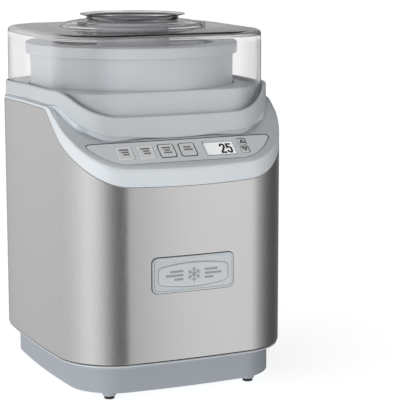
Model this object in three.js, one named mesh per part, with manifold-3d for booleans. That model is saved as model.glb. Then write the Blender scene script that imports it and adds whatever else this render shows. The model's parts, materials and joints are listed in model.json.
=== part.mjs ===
// Ice cream maker with a removable freezer bowl: brushed steel body, sloped
// control panel, clear lid, fixed mixing paddle and a bowl turned from below.
// Millimetres, +Z up, front towards -Y, origin on the floor under the body's centre.
// Heights are written above a datum plane, and add() lifts everything by DATUM.

import * as THREE from 'three';
import { mergeVertices } from 'three/addons/utils/BufferGeometryUtils.js';
import Module from 'manifold-3d';

const wasm = await Module();
wasm.setup();

// ---------------------------------------------------------------- dimensions

const GAP = 0.35;                 // clearance between touching pieces
const AXIS_Y = 14.8;              // bowl, lid and drive axis, behind the body's centre

const BODY = { halfX: 104, halfY: 115.6, radius: 45.3, bow: 5.88 };
const RING = { halfX: 106, halfY: 106, radius: 50, bow: 1.5, centreY: AXIS_Y };
const LID = { halfX: 102, halfY: 102, radius: 48, bow: 1.5, centreY: AXIS_Y };
const PEDESTAL = { halfX: 96.5, halfY: 96.5, radius: 43, bow: 1.5, centreY: AXIS_Y };

const DATUM = 2.6;                // height of the datum plane above the floor
const FOOT_HEIGHT = 5;            // underside of the plinth above the datum
const FOOT_X = 69;
const FOOT_Y = 93;
const FOOT_RADIUS = 6.4;
const PAD_RADIUS = 4.7;
const PAD_TOP = 0;
const PLINTH_INSET = 10.3;
const PLINTH_FLOOR = 2.5;
const VENT_COUNT = 4;             // slots across the plinth's floor, under the fan
const VENT_PITCH = 16;
const VENT_LENGTH = 80;
const VENT_WIDTH = 3.2;
const STEEL_BOTTOM = 33.9;
const STEEL_THICKNESS = 0.8;

const BODY_SHOULDER = 255;        // top edge of the steel along the sides
const STEEL_SLOPE = 0.86;
const STEEL_FRONT = 192.5;
const PANEL_FRONT_Y = -119.5;     // front edge of the sloped panel
const PANEL_FRONT_Z = 208;
const PANEL_SLOPE = 0.8;
const HOUSING_SHOULDER = 257.8;
const REAR_FALL = 0.033;          // the top edges fall gently behind the middle
const REAR_FALL_START = 10;

const RING_BOTTOM = 258.9;
const RING_TOP = 272.5;
const RING_SLOPE = 0.83;
const TROUGH_UNDERSIDE = 246;
const TROUGH_THICKNESS = 3;
const PEDESTAL_TOP = 270;

const WELL_RADIUS = 96;
const WELL_FLOOR_TOP = 146.5;
const WELL_FLOOR_BOTTOM = 144;
const WELL_RIM = 245.6;
const LEG_X = 76;
const LEG_Y = 44;                 // fore and aft of the bowl axis
const LEG_RADIUS = 6;

const BOWL_BOTTOM = 152.1;
const BOWL_RADIUS = 94.5;
const BOWL_RIM_RADIUS = 98.7;
const BOWL_RIM_BOTTOM = 298.3;
const BOWL_RIM_TOP = 308.5;
const LINER_RADIUS = 77.1;
const LINER_FLOOR = 172;
const SOCKET_RADIUS = 26;         // hexagonal drive socket under the bowl

const LID_WALL_TOP = 314.3;
const LID_TOP = 321;
const LID_THICKNESS = 2.3;
const DOME_RADIUS = 67.5;
const SPOUT_RADIUS = 38.8;
const CAP_RADIUS = 49.5;
const CAP_TOP = 333.9;

const GEAR_MODULE = 2;
const MOTOR_TEETH = 14;
const IDLER_TEETH = 32;
const IDLER_PINION_TEETH = 14;
const OUTPUT_TEETH = 40;
const GEAR_BACKLASH = 0.35;
const IDLER_DISTANCE = (GEAR_MODULE * (OUTPUT_TEETH + IDLER_PINION_TEETH)) / 2;
const MOTOR_DISTANCE = (GEAR_MODULE * (IDLER_TEETH + MOTOR_TEETH)) / 2;
const MOTOR_BEARING = THREE.MathUtils.degToRad(-65);   // direction from idler to motor
const IDLER_X = -IDLER_DISTANCE;
const MOTOR_X = IDLER_X + MOTOR_DISTANCE * Math.cos(MOTOR_BEARING);
const MOTOR_Y = AXIS_Y + MOTOR_DISTANCE * Math.sin(MOTOR_BEARING);
const CASE_BOTTOM = 112;
const CASE_TOP = 134;
const CASE_WALL = 3;

const KEY_PITCH = 20;
const KEY_FIRST_X = -56.4;
const KEY_UP = 19.3;              // distance of the key row up the panel
const DISPLAY = { x: 34.8, up: 19.4, width: 29.8, height: 18.4 };
const ARROW_X = 58.4;

const BADGE = { x: 1.1, z: 111.8, width: 79, height: 32, radius: 5 };

// ------------------------------------------------------------------ materials

const finish = (color, roughness, metalness = 0) => ({ color, roughness, metalness });
const STEEL = finish('#b9b9b8', 0.35, 1);
const SILVER_PLASTIC = finish('#c3c9cd', 0.45);
const PLINTH_PLASTIC = finish('#a9b0b7', 0.5);
const PANEL_PLASTIC = finish('#b4bbbf', 0.45);
const KEY_PLASTIC = finish('#d9dcde', 0.5);
const RUBBER = finish('#3a3c3e', 0.85);
const CLEAR = finish('#b9b7bc', 0.08);
const BOWL_PLASTIC = finish('#b9bcc1', 0.5);
const ALUMINIUM = finish('#c8cacc', 0.3, 1);
const WHITE_PLASTIC = finish('#e6e7e5', 0.5);
const DARK_PLASTIC = finish('#4a4d50', 0.6);
const GEAR_PLASTIC = finish('#e4dfcf', 0.5);
const COPPER = finish('#b06a3a', 0.4, 0.8);
const BRONZE = finish('#b08d57', 0.4, 1);
const CIRCUIT = finish('#2f6b45', 0.6);
const GEL = finish('#8fb6cf', 0.5);

// --------------------------------------------------------- geometry functions

function toSolid(geometry) {
  const bare = geometry.clone();
  bare.deleteAttribute('normal');
  bare.deleteAttribute('uv');
  const merged = mergeVertices(bare, 1e-4);
  return new wasm.Manifold(new wasm.Mesh({
    numProp: 3,
    vertProperties: new Float32Array(merged.attributes.position.array),
    triVerts: new Uint32Array(merged.index.array),
  }));
}

function toGeometry(manifold) {
  const mesh = manifold.getMesh();
  const geometry = new THREE.BufferGeometry();
  geometry.setAttribute('position', new THREE.BufferAttribute(mesh.vertProperties, 3));
  geometry.setIndex(new THREE.BufferAttribute(mesh.triVerts, 1));
  return geometry;
}

const join = (first, ...rest) => toGeometry(
  rest.reduce((whole, piece) => whole.add(toSolid(piece)), toSolid(first)));
const cut = (first, ...rest) => toGeometry(
  rest.reduce((whole, piece) => whole.subtract(toSolid(piece)), toSolid(first)));
const common = (first, second) => toGeometry(toSolid(first).intersect(toSolid(second)));

// A box given by its two opposite corners.
function block([x0, y0, z0], [x1, y1, z1]) {
  return new THREE.BoxGeometry(x1 - x0, y1 - y0, z1 - z0)
    .translate((x0 + x1) / 2, (y0 + y1) / 2, (z0 + z1) / 2);
}

// An upright cylinder, or with sides = 6 a hexagonal prism.
function post(radius, bottom, top, x = 0, y = 0, sides = 24) {
  return new THREE.CylinderGeometry(radius, radius, top - bottom, sides)
    .rotateX(Math.PI / 2)
    .translate(x, y, (bottom + top) / 2);
}

// A solid of revolution about Z, from [radius, z] points in counter-clockwise order.
function turned(profile, steps = 32) {
  const points = profile.map(([radius, z]) => new THREE.Vector2(radius, z));
  return new THREE.LatheGeometry(points, steps).rotateX(Math.PI / 2);
}

const closedProfile = (points) => [...points, points[0]];

// A flat plate with rounded corners, centred on x, y, between two heights.
function plate(width, height, radius, bottom, top, x = 0, y = 0) {
  const shape = new THREE.Shape();
  const [a, b] = [width / 2 - radius, height / 2 - radius];
  shape.absarc(a, b, radius, 0, Math.PI / 2);
  shape.absarc(-a, b, radius, Math.PI / 2, Math.PI);
  shape.absarc(-a, -b, radius, Math.PI, Math.PI * 1.5);
  shape.absarc(a, -b, radius, Math.PI * 1.5, Math.PI * 2);
  return extruded(shape, bottom, top, 2).translate(x, y, 0);
}

function extruded(shape, bottom, top, curveSegments = 5) {
  const options = { depth: top - bottom, bevelEnabled: false, curveSegments };
  return new THREE.ExtrudeGeometry(shape, options).translate(0, 0, bottom);
}

// Stations counter-clockwise round a rounded rectangle whose faces bow outwards.
// Outlines with the same steps have matching stations, so that they loft together.
const FINE = { corner: 6, face: 3, side: 8 };
const COARSE = { corner: 5, face: 3, side: 3 };
const FRONT_CROWDING = 1.6;       // side stations crowd towards the front curves

function outline({ halfX, halfY, radius, bow, centreY = 0 }, inset = 0, steps = FINE) {
  const [a, b] = [halfX - inset, halfY - inset];
  const r = radius - inset;
  const [cx, cy] = [a - r, b - r];
  const flat = [];
  const corner = (x, y, start) => {
    for (let i = 0; i <= steps.corner; i++) {
      const angle = start + (i / steps.corner) * (Math.PI / 2);
      flat.push([x + r * Math.cos(angle), y + r * Math.sin(angle)]);
    }
  };
  const side = ([x0, y0], [x1, y1], count, ease) => {
    for (let i = 1; i < count; i++) {
      const t = ease(i / count);
      flat.push([x0 + (x1 - x0) * t, y0 + (y1 - y0) * t]);
    }
  };
  const even = (t) => t;
  const early = (t) => t ** FRONT_CROWDING;
  const late = (t) => 1 - (1 - t) ** FRONT_CROWDING;
  corner(-cx, -cy, Math.PI);
  side([-cx, -b], [cx, -b], steps.face, even);
  corner(cx, -cy, -Math.PI / 2);
  side([a, -cy], [a, cy], steps.side, early);
  corner(cx, cy, 0);
  side([cx, b], [-cx, b], steps.face, even);
  corner(-cx, cy, Math.PI / 2);
  side([-a, cy], [-a, -cy], steps.side, late);
  return flat.map(([x, y]) => [
    x * (1 + (bow / a) * (1 - (y / b) ** 2)),
    y * (1 + (bow / b) * (1 - (x / a) ** 2)) + centreY,
  ]);
}

// A circle about the bowl axis with its stations in line with those of an outline.
function circle(radius, stations) {
  return stations.map(([x, y]) => {
    const angle = Math.atan2(y - AXIS_Y, x);
    return [radius * Math.cos(angle), AXIS_Y + radius * Math.sin(angle)];
  });
}

const atHeight = (stations, z) => stations.map(([x, y], i) => (
  [x, y, typeof z === 'function' ? z(x, y, i) : z]));

// A skin through rings of stations: up the outside, then down the inside. It closes
// on its first ring, or with capped = true ends in a flat cap at each end.
function loft(rings, capped = false) {
  const count = rings[0].length;
  const positions = rings.flat(2);
  const index = [];
  const last = capped ? rings.length - 1 : rings.length;
  for (let i = 0; i < last; i++) {
    const next = (i + 1) % rings.length;
    for (let j = 0; j < count; j++) {
      const k = (j + 1) % count;
      index.push(i * count + j, i * count + k, next * count + k);
      index.push(i * count + j, next * count + k, next * count + j);
    }
  }
  if (capped) {
    [0, rings.length - 1].forEach((ring, end) => {
      const sum = rings[ring].reduce((s, p) => s.map((v, n) => v + p[n]), [0, 0, 0]);
      const centre = positions.push(...sum.map((v) => v / count)) / 3 - 1;
      for (let j = 0; j < count; j++) {
        const [p, q] = [ring * count + j, ring * count + ((j + 1) % count)];
        index.push(centre, ...(end ? [p, q] : [q, p]));
      }
    });
  }
  const geometry = new THREE.BufferGeometry();
  geometry.setAttribute('position', new THREE.Float32BufferAttribute(positions, 3));
  geometry.setIndex(index);
  return geometry;
}

// ------------------------------------------------------------ shared contours

const smoothMin = (a, b, width) => {
  const h = Math.max(width - Math.abs(a - b), 0) / width;
  return Math.min(a, b) - (h * h * width) / 4;
};
const smoothStep = (value, low, high) => THREE.MathUtils.smoothstep(value, low, high);
const rearFall = (y) => REAR_FALL * Math.max(0, y - REAR_FALL_START);

const steelTop = (y) => smoothMin(
  STEEL_FRONT + STEEL_SLOPE * (y + 119), BODY_SHOULDER, 4.5) - rearFall(y);
const panel = (y) => smoothMin(
  PANEL_FRONT_Z + PANEL_SLOPE * (y - PANEL_FRONT_Y), HOUSING_SHOULDER, 4.5) - rearFall(y);
// The ring's lower edge sags in the middle of the front, down to the panel.
const frontSag = (x, y) => (y < 0 ? 2.7 * Math.max(0, 1 - (x / 48) ** 2) : 0);
const ringBottom = (x, y) => smoothMin(
  234.3 + RING_SLOPE * (y + 90.2), RING_BOTTOM, 4) - frontSag(x, y) - rearFall(y);
const ringTop = (x, y) => smoothMin(
  252 + RING_SLOPE * (y + 90.3), RING_TOP, 8) - rearFall(y);

// Behind the bowl axis the ring and the lid leave their own outline for the body's.
const REAR_START = 10;
const REAR_FULL = 85;
function upperOutline(spec, inset, rearInset, steps) {
  const own = outline(spec, inset, steps);
  const rear = outline(BODY, rearInset, steps);
  return own.map(([x, y], i) => {
    const share = smoothStep(y, REAR_START, REAR_FULL);
    return [x + (rear[i][0] - x) * share, y + (rear[i][1] - y) * share];
  });
}

const body = (inset) => outline(BODY, inset);
const ring = (inset) => upperOutline(RING, inset, 1.5 + 0.65 * inset);
const lid = (inset) => upperOutline(LID, inset, 4.1 + inset, COARSE);
const pedestal = (inset) => outline(PEDESTAL, inset);

// The trough follows the ring's lower edge up from the front to the sides.
const troughUnderside = (x, y) => Math.max(TROUGH_UNDERSIDE, ringBottom(x, y));

const ringEdge = ring(0);
const ringBottomAt = ringEdge.map(([x, y]) => ringBottom(x, y));
const ringTopAt = ringEdge.map(([x, y]) => ringTop(x, y));
const troughAt = ringEdge.map(([x, y]) => troughUnderside(x, y));
// 1 where the ring hangs below the lid trough (front), 0 where the trough backs it.
const hanging = ringBottomAt.map((z) => 1 - smoothStep(z, TROUGH_UNDERSIDE - 6, TROUGH_UNDERSIDE));
// Ring outline with an inset that grows from the sides to the front.
const ringInset = (sides, front) => {
  const [near, far] = [ring(sides), ring(front)];
  return near.map(([x, y], i) => [
    x + (far[i][0] - x) * hanging[i],
    y + (far[i][1] - y) * hanging[i],
  ]);
};

// -------------------------------------------------------------- body and base

function basePan() {
  const skirt = (inset) => outline(BODY, inset, COARSE);
  const plinth = (inset) => skirt(PLINTH_INSET + inset);
  const tray = loft([
    atHeight(plinth(0), FOOT_HEIGHT),
    atHeight(plinth(0), 27),
    atHeight(plinth(-2), 30.6),
    atHeight(skirt(1.2), 31.8),
    atHeight(skirt(1.2), 33.3),
    atHeight(skirt(3.2), 33.3),
    atHeight(skirt(3.2), 44),
    atHeight(skirt(5.2), 44),
    atHeight(skirt(5.2), 34),
    atHeight(plinth(2.5), 26),
    atHeight(plinth(2.5), FOOT_HEIGHT + PLINTH_FLOOR),
  ], true);
  const bosses = [];
  const holes = [];
  for (const x of [-FOOT_X, FOOT_X]) {
    for (const y of [-FOOT_Y, FOOT_Y]) {
      bosses.push(post(FOOT_RADIUS, PAD_TOP + GAP, FOOT_HEIGHT + 1, x, y, 12));
      holes.push(post(2.8, -1, FOOT_HEIGHT + PLINTH_FLOOR + 1, x, y, 6));
    }
  }
  for (const [x, y] of LEGS) {
    holes.push(post(2.4, 4, FOOT_HEIGHT + PLINTH_FLOOR + 1, x, y, 6));
  }
  for (let i = 0; i < VENT_COUNT; i++) {
    const y = AXIS_Y + (i - (VENT_COUNT - 1) / 2) * VENT_PITCH;
    holes.push(block(
      [-VENT_LENGTH / 2, y - VENT_WIDTH / 2, 4],
      [VENT_LENGTH / 2, y + VENT_WIDTH / 2, FOOT_HEIGHT + PLINTH_FLOOR + 1],
    ));
  }
  holes.push(new THREE.CylinderGeometry(5.4, 5.4, 30, 14).translate(GLAND_X, 105, GLAND_Z));
  return cut(join(tray, ...bosses), ...holes);
}

const LEGS = [[-LEG_X, -LEG_Y], [LEG_X, -LEG_Y], [LEG_X, LEG_Y], [-LEG_X, LEG_Y]]
  .map(([x, y]) => [x, AXIS_Y + y]);
const GLAND_X = 48;
const GLAND_Z = 18;

function foot() {
  return turned([
    [0, -DATUM], [PAD_RADIUS, -DATUM], [PAD_RADIUS, PAD_TOP], [2.2, PAD_TOP], [2.2, 8.2], [0, 8.2],
  ], 12);
}

function cordGland() {
  const wall = 111;
  return turned([
    [3.2, -12], [4.9, -12], [4.9, 0.5], [8, 0.5], [8, 2.6], [5.6, 5.6], [3.2, 5.6], [3.2, -12],
  ], 14).rotateX(-Math.PI / 2).translate(GLAND_X, wall, GLAND_Z);
}

function steelWrap() {
  const [outer, inner] = [body(0), body(STEEL_THICKNESS)];
  const top = outer.map(([, y]) => steelTop(y));
  return loft([
    atHeight(inner, STEEL_BOTTOM),
    atHeight(outer, STEEL_BOTTOM),
    atHeight(outer, (x, y, i) => top[i]),
    atHeight(inner, (x, y, i) => top[i]),
  ]);
}

// Badge blank that follows the bowed steel face.
function badgePlate() {
  const { x, z, width, height, radius } = BADGE;
  const skin = loft([
    atHeight(body(-0.3), z - height),
    atHeight(body(-1.9), z - height),
    atHeight(body(-1.9), z + height),
    atHeight(body(-0.3), z + height),
  ]);
  const blank = plate(width, height, radius, -10, 10)
    .rotateX(Math.PI / 2)
    .translate(x, -BODY.halfY - BODY.bow, z);
  return common(skin, blank);
}

// ------------------------------------------------------------- upper housings

// Silver shoulder piece: the upright band above the steel, the sloped panel and the
// shadowed cove that runs in under the deck ring.
function topHousing() {
  const hidden = 14;              // depth of the skirt inside the steel
  const [skirtOut, skirtIn] = [body(STEEL_THICKNESS + 0.6), body(4.2)];
  const steelAt = body(0).map(([, y]) => steelTop(y));
  const brow = body(0.9);
  const edge = ring(0);
  const cove = ringInset(0.8, 5.5);
  const hole = ringInset(4.5, 7);
  const under = (i) => ringBottomAt[i] - GAP;
  // The dip deepens from the middle of the front into the corners.
  const lip = brow.map(([x, y], i) => {
    const reach = Math.hypot(edge[i][0] - x, edge[i][1] - y);
    const corner = smoothStep(Math.abs(edge[i][0]), 30, 75);
    return { width: Math.min(7, reach / 2) * (0.35 + 0.65 * corner) / reach,
             dip: Math.min(2.6, 0.35 * reach) * corner };
  });
  const start = brow.map(([x, y], i) => [
    edge[i][0] + (x - edge[i][0]) * lip[i].width,
    edge[i][1] + (y - edge[i][1]) * lip[i].width,
  ]);
  const ledge = edge.map(([, y], i) => Math.min(panel(y), under(i)) - lip[i].dip);
  const housing = loft([
    atHeight(skirtIn, (x, y, i) => steelAt[i] - hidden),
    atHeight(skirtOut, (x, y, i) => steelAt[i] - hidden),
    atHeight(skirtOut, (x, y, i) => steelAt[i] + GAP),
    atHeight(body(0.1), (x, y, i) => steelAt[i] + GAP),
    atHeight(body(0.3), (x, y, i) => panel(brow[i][1]) - 1.1),
    atHeight(brow, (x, y) => panel(y)),
    atHeight(start, (x, y) => panel(y)),
    atHeight(edge, (x, y, i) => ledge[i]),
    atHeight(cove, (x, y, i) => ledge[i] - 0.1),
    atHeight(cove, (x, y, i) => under(i)),
    atHeight(hole, (x, y, i) => under(i)),
    atHeight(hole, (x, y, i) => Math.min(panel(y), under(i)) - 5.5),
    atHeight(skirtIn, (x, y) => panel(y) - 4.5),
  ]);
  const window = onPanel(extruded(fasciaShape(0.5), -12, 12, 4));
  return cut(housing, window);
}

// Outer ring, lid trough and the pedestal round the bowl, in one moulding.
function deckRing() {
  const inner = ring(2.6);
  const top = (drop) => (x, y, i) => ringTopAt[i] - drop;
  const well = circle(WELL_RADIUS, pedestal(0));
  return loft([
    atHeight(inner, (x, y, i) => ringBottomAt[i]),
    atHeight(ring(0), (x, y, i) => ringBottomAt[i]),
    atHeight(ring(0.3), top(2)),
    atHeight(ring(1.4), top(0)),
    atHeight(ring(3.1), top(0.3)),
    atHeight(ring(3.3), (x, y, i) => troughAt[i] + TROUGH_THICKNESS),
    atHeight(pedestal(0), (x, y, i) => troughAt[i] + TROUGH_THICKNESS),
    atHeight(pedestal(0.5), PEDESTAL_TOP),
    atHeight(well, PEDESTAL_TOP),
    atHeight(well, TROUGH_UNDERSIDE),
    atHeight(circle(WELL_RADIUS + 2.4, pedestal(0)), TROUGH_UNDERSIDE),
    atHeight(circle(WELL_RADIUS + 2.8, pedestal(0)), (x, y, i) => troughAt[i]),
    atHeight(ring(2.9), (x, y, i) => troughAt[i]),
  ]);
}

// Bucket that the bowl turns in, on four legs screwed to the base.
function bowlWell() {
  const wall = 2;
  const bucket = turned(closedProfile([
    [10, WELL_FLOOR_BOTTOM],
    [92, WELL_FLOOR_BOTTOM],
    [WELL_RADIUS + wall, 150],
    [WELL_RADIUS + wall, WELL_RIM - 2.6],
    [WELL_RADIUS + 4.5, WELL_RIM],
    [WELL_RADIUS, WELL_RIM],
    [WELL_RADIUS, 151],
    [91, WELL_FLOOR_TOP],
    [10, WELL_FLOOR_TOP],
  ]), 28).translate(0, AXIS_Y, 0);
  const floor = FOOT_HEIGHT + PLINTH_FLOOR + GAP;
  const legs = LEGS.map(([x, y]) => post(LEG_RADIUS, floor, WELL_FLOOR_BOTTOM + 1, x, y, 8));
  const bores = LEGS.map(([x, y]) => post(2.4, floor - 1, 34, x, y, 6));
  const screwHoles = STANDOFFS.map(([x, y]) => (
    post(2.2, WELL_FLOOR_BOTTOM - 1, WELL_FLOOR_TOP + 1, x, y, 6)));
  return cut(join(bucket, ...legs), ...bores, ...screwHoles);
}

// -------------------------------------------------------------- control panel

// Puts geometry made flat in x, y (y up the slope) onto the sloped panel.
function onPanel(geometry) {
  return geometry.rotateX(Math.atan(PANEL_SLOPE)).translate(0, PANEL_FRONT_Y, PANEL_FRONT_Z);
}

// Crescent outline of the fascia; grow widens it for the opening round it.
function fasciaShape(grow = 0) {
  const centre = -1.2;
  const [top, bottom, tip, foot] = [31.8 + grow, 5.7 - grow, 87.8 + grow, 56];
  const shape = new THREE.Shape();
  shape.moveTo(centre - 82, top);
  shape.quadraticCurveTo(centre - tip - 1.5, top, centre - tip, 28);
  shape.bezierCurveTo(centre - 83 - grow, 20, centre - 70, bottom + 1, centre - foot, bottom);
  shape.lineTo(centre + foot, bottom);
  shape.bezierCurveTo(centre + 70, bottom + 1, centre + 83 + grow, 20, centre + tip, 28);
  shape.quadraticCurveTo(centre + tip + 1.5, top, centre + 82, top);
  shape.closePath();
  return shape;
}

const KEYS = [
  { name: 'mode_key_1', width: 15, height: 16.2 },
  { name: 'mode_key_2', width: 15, height: 16.2 },
  { name: 'mode_key_3', width: 14.2, height: 14.6 },
  { name: 'mode_key_4', width: 14.2, height: 14.6 },
].map((spec, i) => ({
  ...spec, x: KEY_FIRST_X + i * KEY_PITCH, up: KEY_UP, radius: 1.8, flange: 1.2,
}));
for (const [name, up] of [['time_up_key', 24.6], ['time_down_key', 15]]) {
  KEYS.push({ name, x: ARROW_X, up, width: 7.4, height: 7.4, radius: 1.2, flange: 0.8 });
}

const FASCIA_BACK = -2.4;

function controlFascia() {
  const front = extruded(fasciaShape(), FASCIA_BACK, -0.15, 4);
  const holes = KEYS.map(({ x, up, width, height, radius }) => (
    plate(width + 2 * GAP, height + 2 * GAP, radius, -10, 10, x, up)));
  const { x, up, width, height } = DISPLAY;
  holes.push(plate(width + 2 * GAP, height + 2 * GAP, 1.2, -10, 10, x, up));
  return onPanel(cut(front, ...holes));
}

// A key with a flange behind the fascia that stops it falling out.
function key({ x, up, width, height, radius, flange }) {
  const cap = plate(width, height, radius, FASCIA_BACK - 1.6, 0.35, x, up);
  const [w, h] = [width / 2 + flange, height / 2 + flange];
  const back = block([x - w, up - h, FASCIA_BACK - 1.7], [x + w, up + h, FASCIA_BACK - GAP]);
  return onPanel(join(cap, back));
}

function displayWindow() {
  const { x, up, width, height } = DISPLAY;
  return onPanel(plate(width, height, 1.2, -1.6, -0.05, x, up));
}

function displayModule() {
  const { x, up, width, height } = DISPLAY;
  return onPanel(plate(width - 1, height - 1, 1, -6.4, -2, x, up));
}

// Board behind the keys, with a switch body under each one.
function controlBoard() {
  const board = block([-72, 8, -9.6], [70, 30, -8]);
  const switches = KEYS.map(({ x, up }) => block([x - 3, up - 3, -8.5], [x + 3, up + 3, -5.4]));
  return onPanel(join(board, ...switches));
}

// ------------------------------------------------------------ drive and motor

// Spur gear outline: straight flanks between the widths that an involute tooth has at
// its root and tip, thinned by the backlash. The addendum is short for the small pinions.
function gearShape(teeth, phase) {
  const pitch = (GEAR_MODULE * teeth) / 2;
  const base = pitch * Math.cos(THREE.MathUtils.degToRad(20));
  const tip = pitch + 0.8 * GEAR_MODULE;
  const root = pitch - 1.1 * GEAR_MODULE;
  const involute = (r) => {
    const turn = Math.acos(Math.min(1, base / r));
    return Math.tan(turn) - turn;
  };
  const halfTooth = Math.PI / (2 * teeth) - GEAR_BACKLASH / 2 / pitch;
  const halfAt = (r) => halfTooth + involute(pitch) - involute(Math.max(r, base));
  const flank = [root, tip];
  const shape = new THREE.Shape();
  for (let i = 0; i < teeth; i++) {
    const middle = phase + (2 * Math.PI * i) / teeth;
    const rising = flank.map((r) => [r, middle - halfAt(r)]);
    const falling = flank.map((r) => [r, middle + halfAt(r)]).reverse();
    for (const [r, angle] of [...rising, ...falling]) {
      const [x, y] = [r * Math.cos(angle), r * Math.sin(angle)];
      if (i === 0 && r === root && angle < middle) shape.moveTo(x, y);
      else shape.lineTo(x, y);
    }
  }
  return shape;
}

function gear(teeth, phase, bottom, top, x, y) {
  return extruded(gearShape(teeth, phase), bottom, top).translate(x, y, 0);
}

// The idler meshes to the left of the output gear: a tooth points at a gap there.
const OUTPUT_PHASE = 0;
const IDLER_PINION_PHASE = Math.PI / IDLER_PINION_TEETH;
const IDLER_PHASE = MOTOR_BEARING;
const MOTOR_PHASE = MOTOR_BEARING + Math.PI + Math.PI / MOTOR_TEETH;

function idlerGear() {
  const solid = join(
    gear(IDLER_PINION_TEETH, IDLER_PINION_PHASE, 115.6, 126, IDLER_X, AXIS_Y),
    gear(IDLER_TEETH, IDLER_PHASE, 125.8, 132.6, IDLER_X, AXIS_Y),
  );
  return cut(solid, post(3.35, 100, 140, IDLER_X, AXIS_Y, 12));
}

function outputGear() {
  const solid = gear(OUTPUT_TEETH, OUTPUT_PHASE, 116, 124, 0, AXIS_Y);
  return cut(solid, post(5 + GAP, 100, 140, 0, AXIS_Y, 16));
}

const CASE_LOBES = [
  [0, AXIS_Y, 46],
  [IDLER_X, AXIS_Y, 38],
  [MOTOR_X, MOTOR_Y, 20],
];
const STANDOFFS = [[-29, -29], [29, -29], [29, 29], [-29, 29]].map(([x, y]) => [x, AXIS_Y + y]);

const lobes = (inset, bottom, top) => join(
  ...CASE_LOBES.map(([x, y, radius]) => post(radius - inset, bottom, top, x, y, 16)));

function gearboxCase() {
  return cut(
    lobes(0, CASE_BOTTOM, CASE_TOP),
    lobes(CASE_WALL, CASE_BOTTOM + CASE_WALL, CASE_TOP + 1),
    post(9 + GAP, 100, 140, 0, AXIS_Y, 16),
    post(3.2, 100, 140, IDLER_X, AXIS_Y, 12),
    post(8, 100, 140, MOTOR_X, MOTOR_Y, 12),
    ...MOTOR_SCREWS.map(([x, y]) => post(2.2, 100, 140, x, y, 6)),
  );
}

const MOTOR_SCREWS = [-1, 1].map((side) => [MOTOR_X + side * 12.5, MOTOR_Y]);

// Lid of the gearbox, with four standoffs up to the underside of the well.
function gearboxCover() {
  const [bottom, top] = [CASE_TOP + GAP, CASE_TOP + GAP + 3];
  const standoffs = STANDOFFS.map(([x, y]) => (
    post(5, top - 1, WELL_FLOOR_BOTTOM - GAP, x, y, 8)));
  const bores = STANDOFFS.map(([x, y]) => post(1.9, top, WELL_FLOOR_BOTTOM, x, y, 6));
  return cut(
    join(lobes(0, bottom, top), ...standoffs),
    post(9 + GAP, 100, 160, 0, AXIS_Y, 16),
    ...bores,
  );
}

// Flanged bush for the drive shaft, its flange on the outer face of the case or cover.
const upperBush = () => turned(closedProfile([
  [5 + GAP, 134.6], [9, 134.6], [9, 137.7], [11.5, 137.7], [11.5, 139.2], [5 + GAP, 139.2],
]), 16).translate(0, AXIS_Y, 0);
const lowerBush = () => turned(closedProfile([
  [5 + GAP, 110.2], [11.5, 110.2], [11.5, 111.7], [9, 111.7], [9, 114.8], [5 + GAP, 114.8],
]), 16).translate(0, AXIS_Y, 0);

function turntable() {
  const disc = turned([
    [0, 147], [5 + GAP, 147], [5 + GAP, 140.4], [8.8, 140.4], [8.8, 149.4], [46, 149.4],
    [46, 151.7], [0, 151.7],
  ], 24);
  const hexagon = post(SOCKET_RADIUS - 1.2, 151, 156.4, 0, 0, 6);
  return join(disc, hexagon).translate(0, AXIS_Y, 0);
}

const atMotor = (geometry) => geometry.translate(MOTOR_X, MOTOR_Y, 0);

function motorCan() {
  const can = atMotor(turned(closedProfile([
    [31.5, 56], [33, 56], [33, 111.6], [7, 111.6], [7, 110], [31.5, 110],
  ]), 24));
  return cut(can, ...MOTOR_SCREWS.map(([x, y]) => post(2.3, 105, 115, x, y, 6)));
}

function motorEndCap() {
  return atMotor(turned(closedProfile([
    [5, 52.5], [20, 52.5], [33, 55], [33, 55.6], [20, 54.5], [5, 54.5],
  ]), 24));
}

// Laminated stator ring with six slots for the windings.
function motorStator() {
  const stack = turned(closedProfile([[17, 64], [31, 64], [31, 98], [17, 98]]), 24);
  const slots = [];
  for (let i = 0; i < 6; i++) {
    slots.push(block([15, -3, 63], [26, 3, 99]).rotateZ((i * Math.PI) / 3));
  }
  return atMotor(cut(stack, ...slots));
}

function motorWindings() {
  const rings = [58.5, 98.6].map((bottom) => turned(closedProfile([
    [18, bottom], [29.5, bottom], [29.5, bottom + 5], [18, bottom + 5],
  ]), 18));
  return atMotor(join(rings[0], block([22, -2.6, 63], [25, 2.6, 99]), rings[1]));
}

function motorRotor() {
  return atMotor(join(
    post(16, 65, 97, 0, 0, 18),
    post(3, 50, 125, 0, 0, 12),
  ));
}

function motorPinion() {
  return atMotor(gear(MOTOR_TEETH, MOTOR_PHASE, 125.6, 132.4, 0, 0));
}

function coolingFan() {
  const blades = [];
  for (let i = 0; i < 7; i++) {
    blades.push(block([6, -0.9, 42], [24, 0.9, 49]).rotateZ((i * 2 * Math.PI) / 7));
  }
  const hub = cut(post(7.5, 41.5, 49.4, 0, 0, 14), post(3.35, 45, 60, 0, 0, 12));
  return atMotor(join(hub, ...blades));
}

function powerBoard() {
  return join(
    block([14, -50, 14], [64, 60, 15.6]),
    block([20, -40, 15], [58, -8, 42]),
    post(8, 15, 36, 30, 8, 10),
    post(6, 15, 30, 50, 8, 10),
    block([20, 26, 15], [40, 44, 30]),
    block([46, 30, 15], [60, 52, 26]),
    post(2.2, FOOT_HEIGHT + PLINTH_FLOOR + GAP, 15, 20, 55, 8),
    post(2.2, FOOT_HEIGHT + PLINTH_FLOOR + GAP, 15, 60, -46, 8),
  );
}

// A pan-head screw pointing up or down, its head's bearing face at z.
function screw(head, shank, length, x, y, z, direction) {
  const profile = [
    [0, -2], [head, -2], [head, 0], [shank, 0], [shank, length - 1.5], [0, length],
  ];
  const geometry = turned(profile, 8);
  if (direction < 0) geometry.rotateX(Math.PI);
  return geometry.translate(x, y, z);
}

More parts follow.
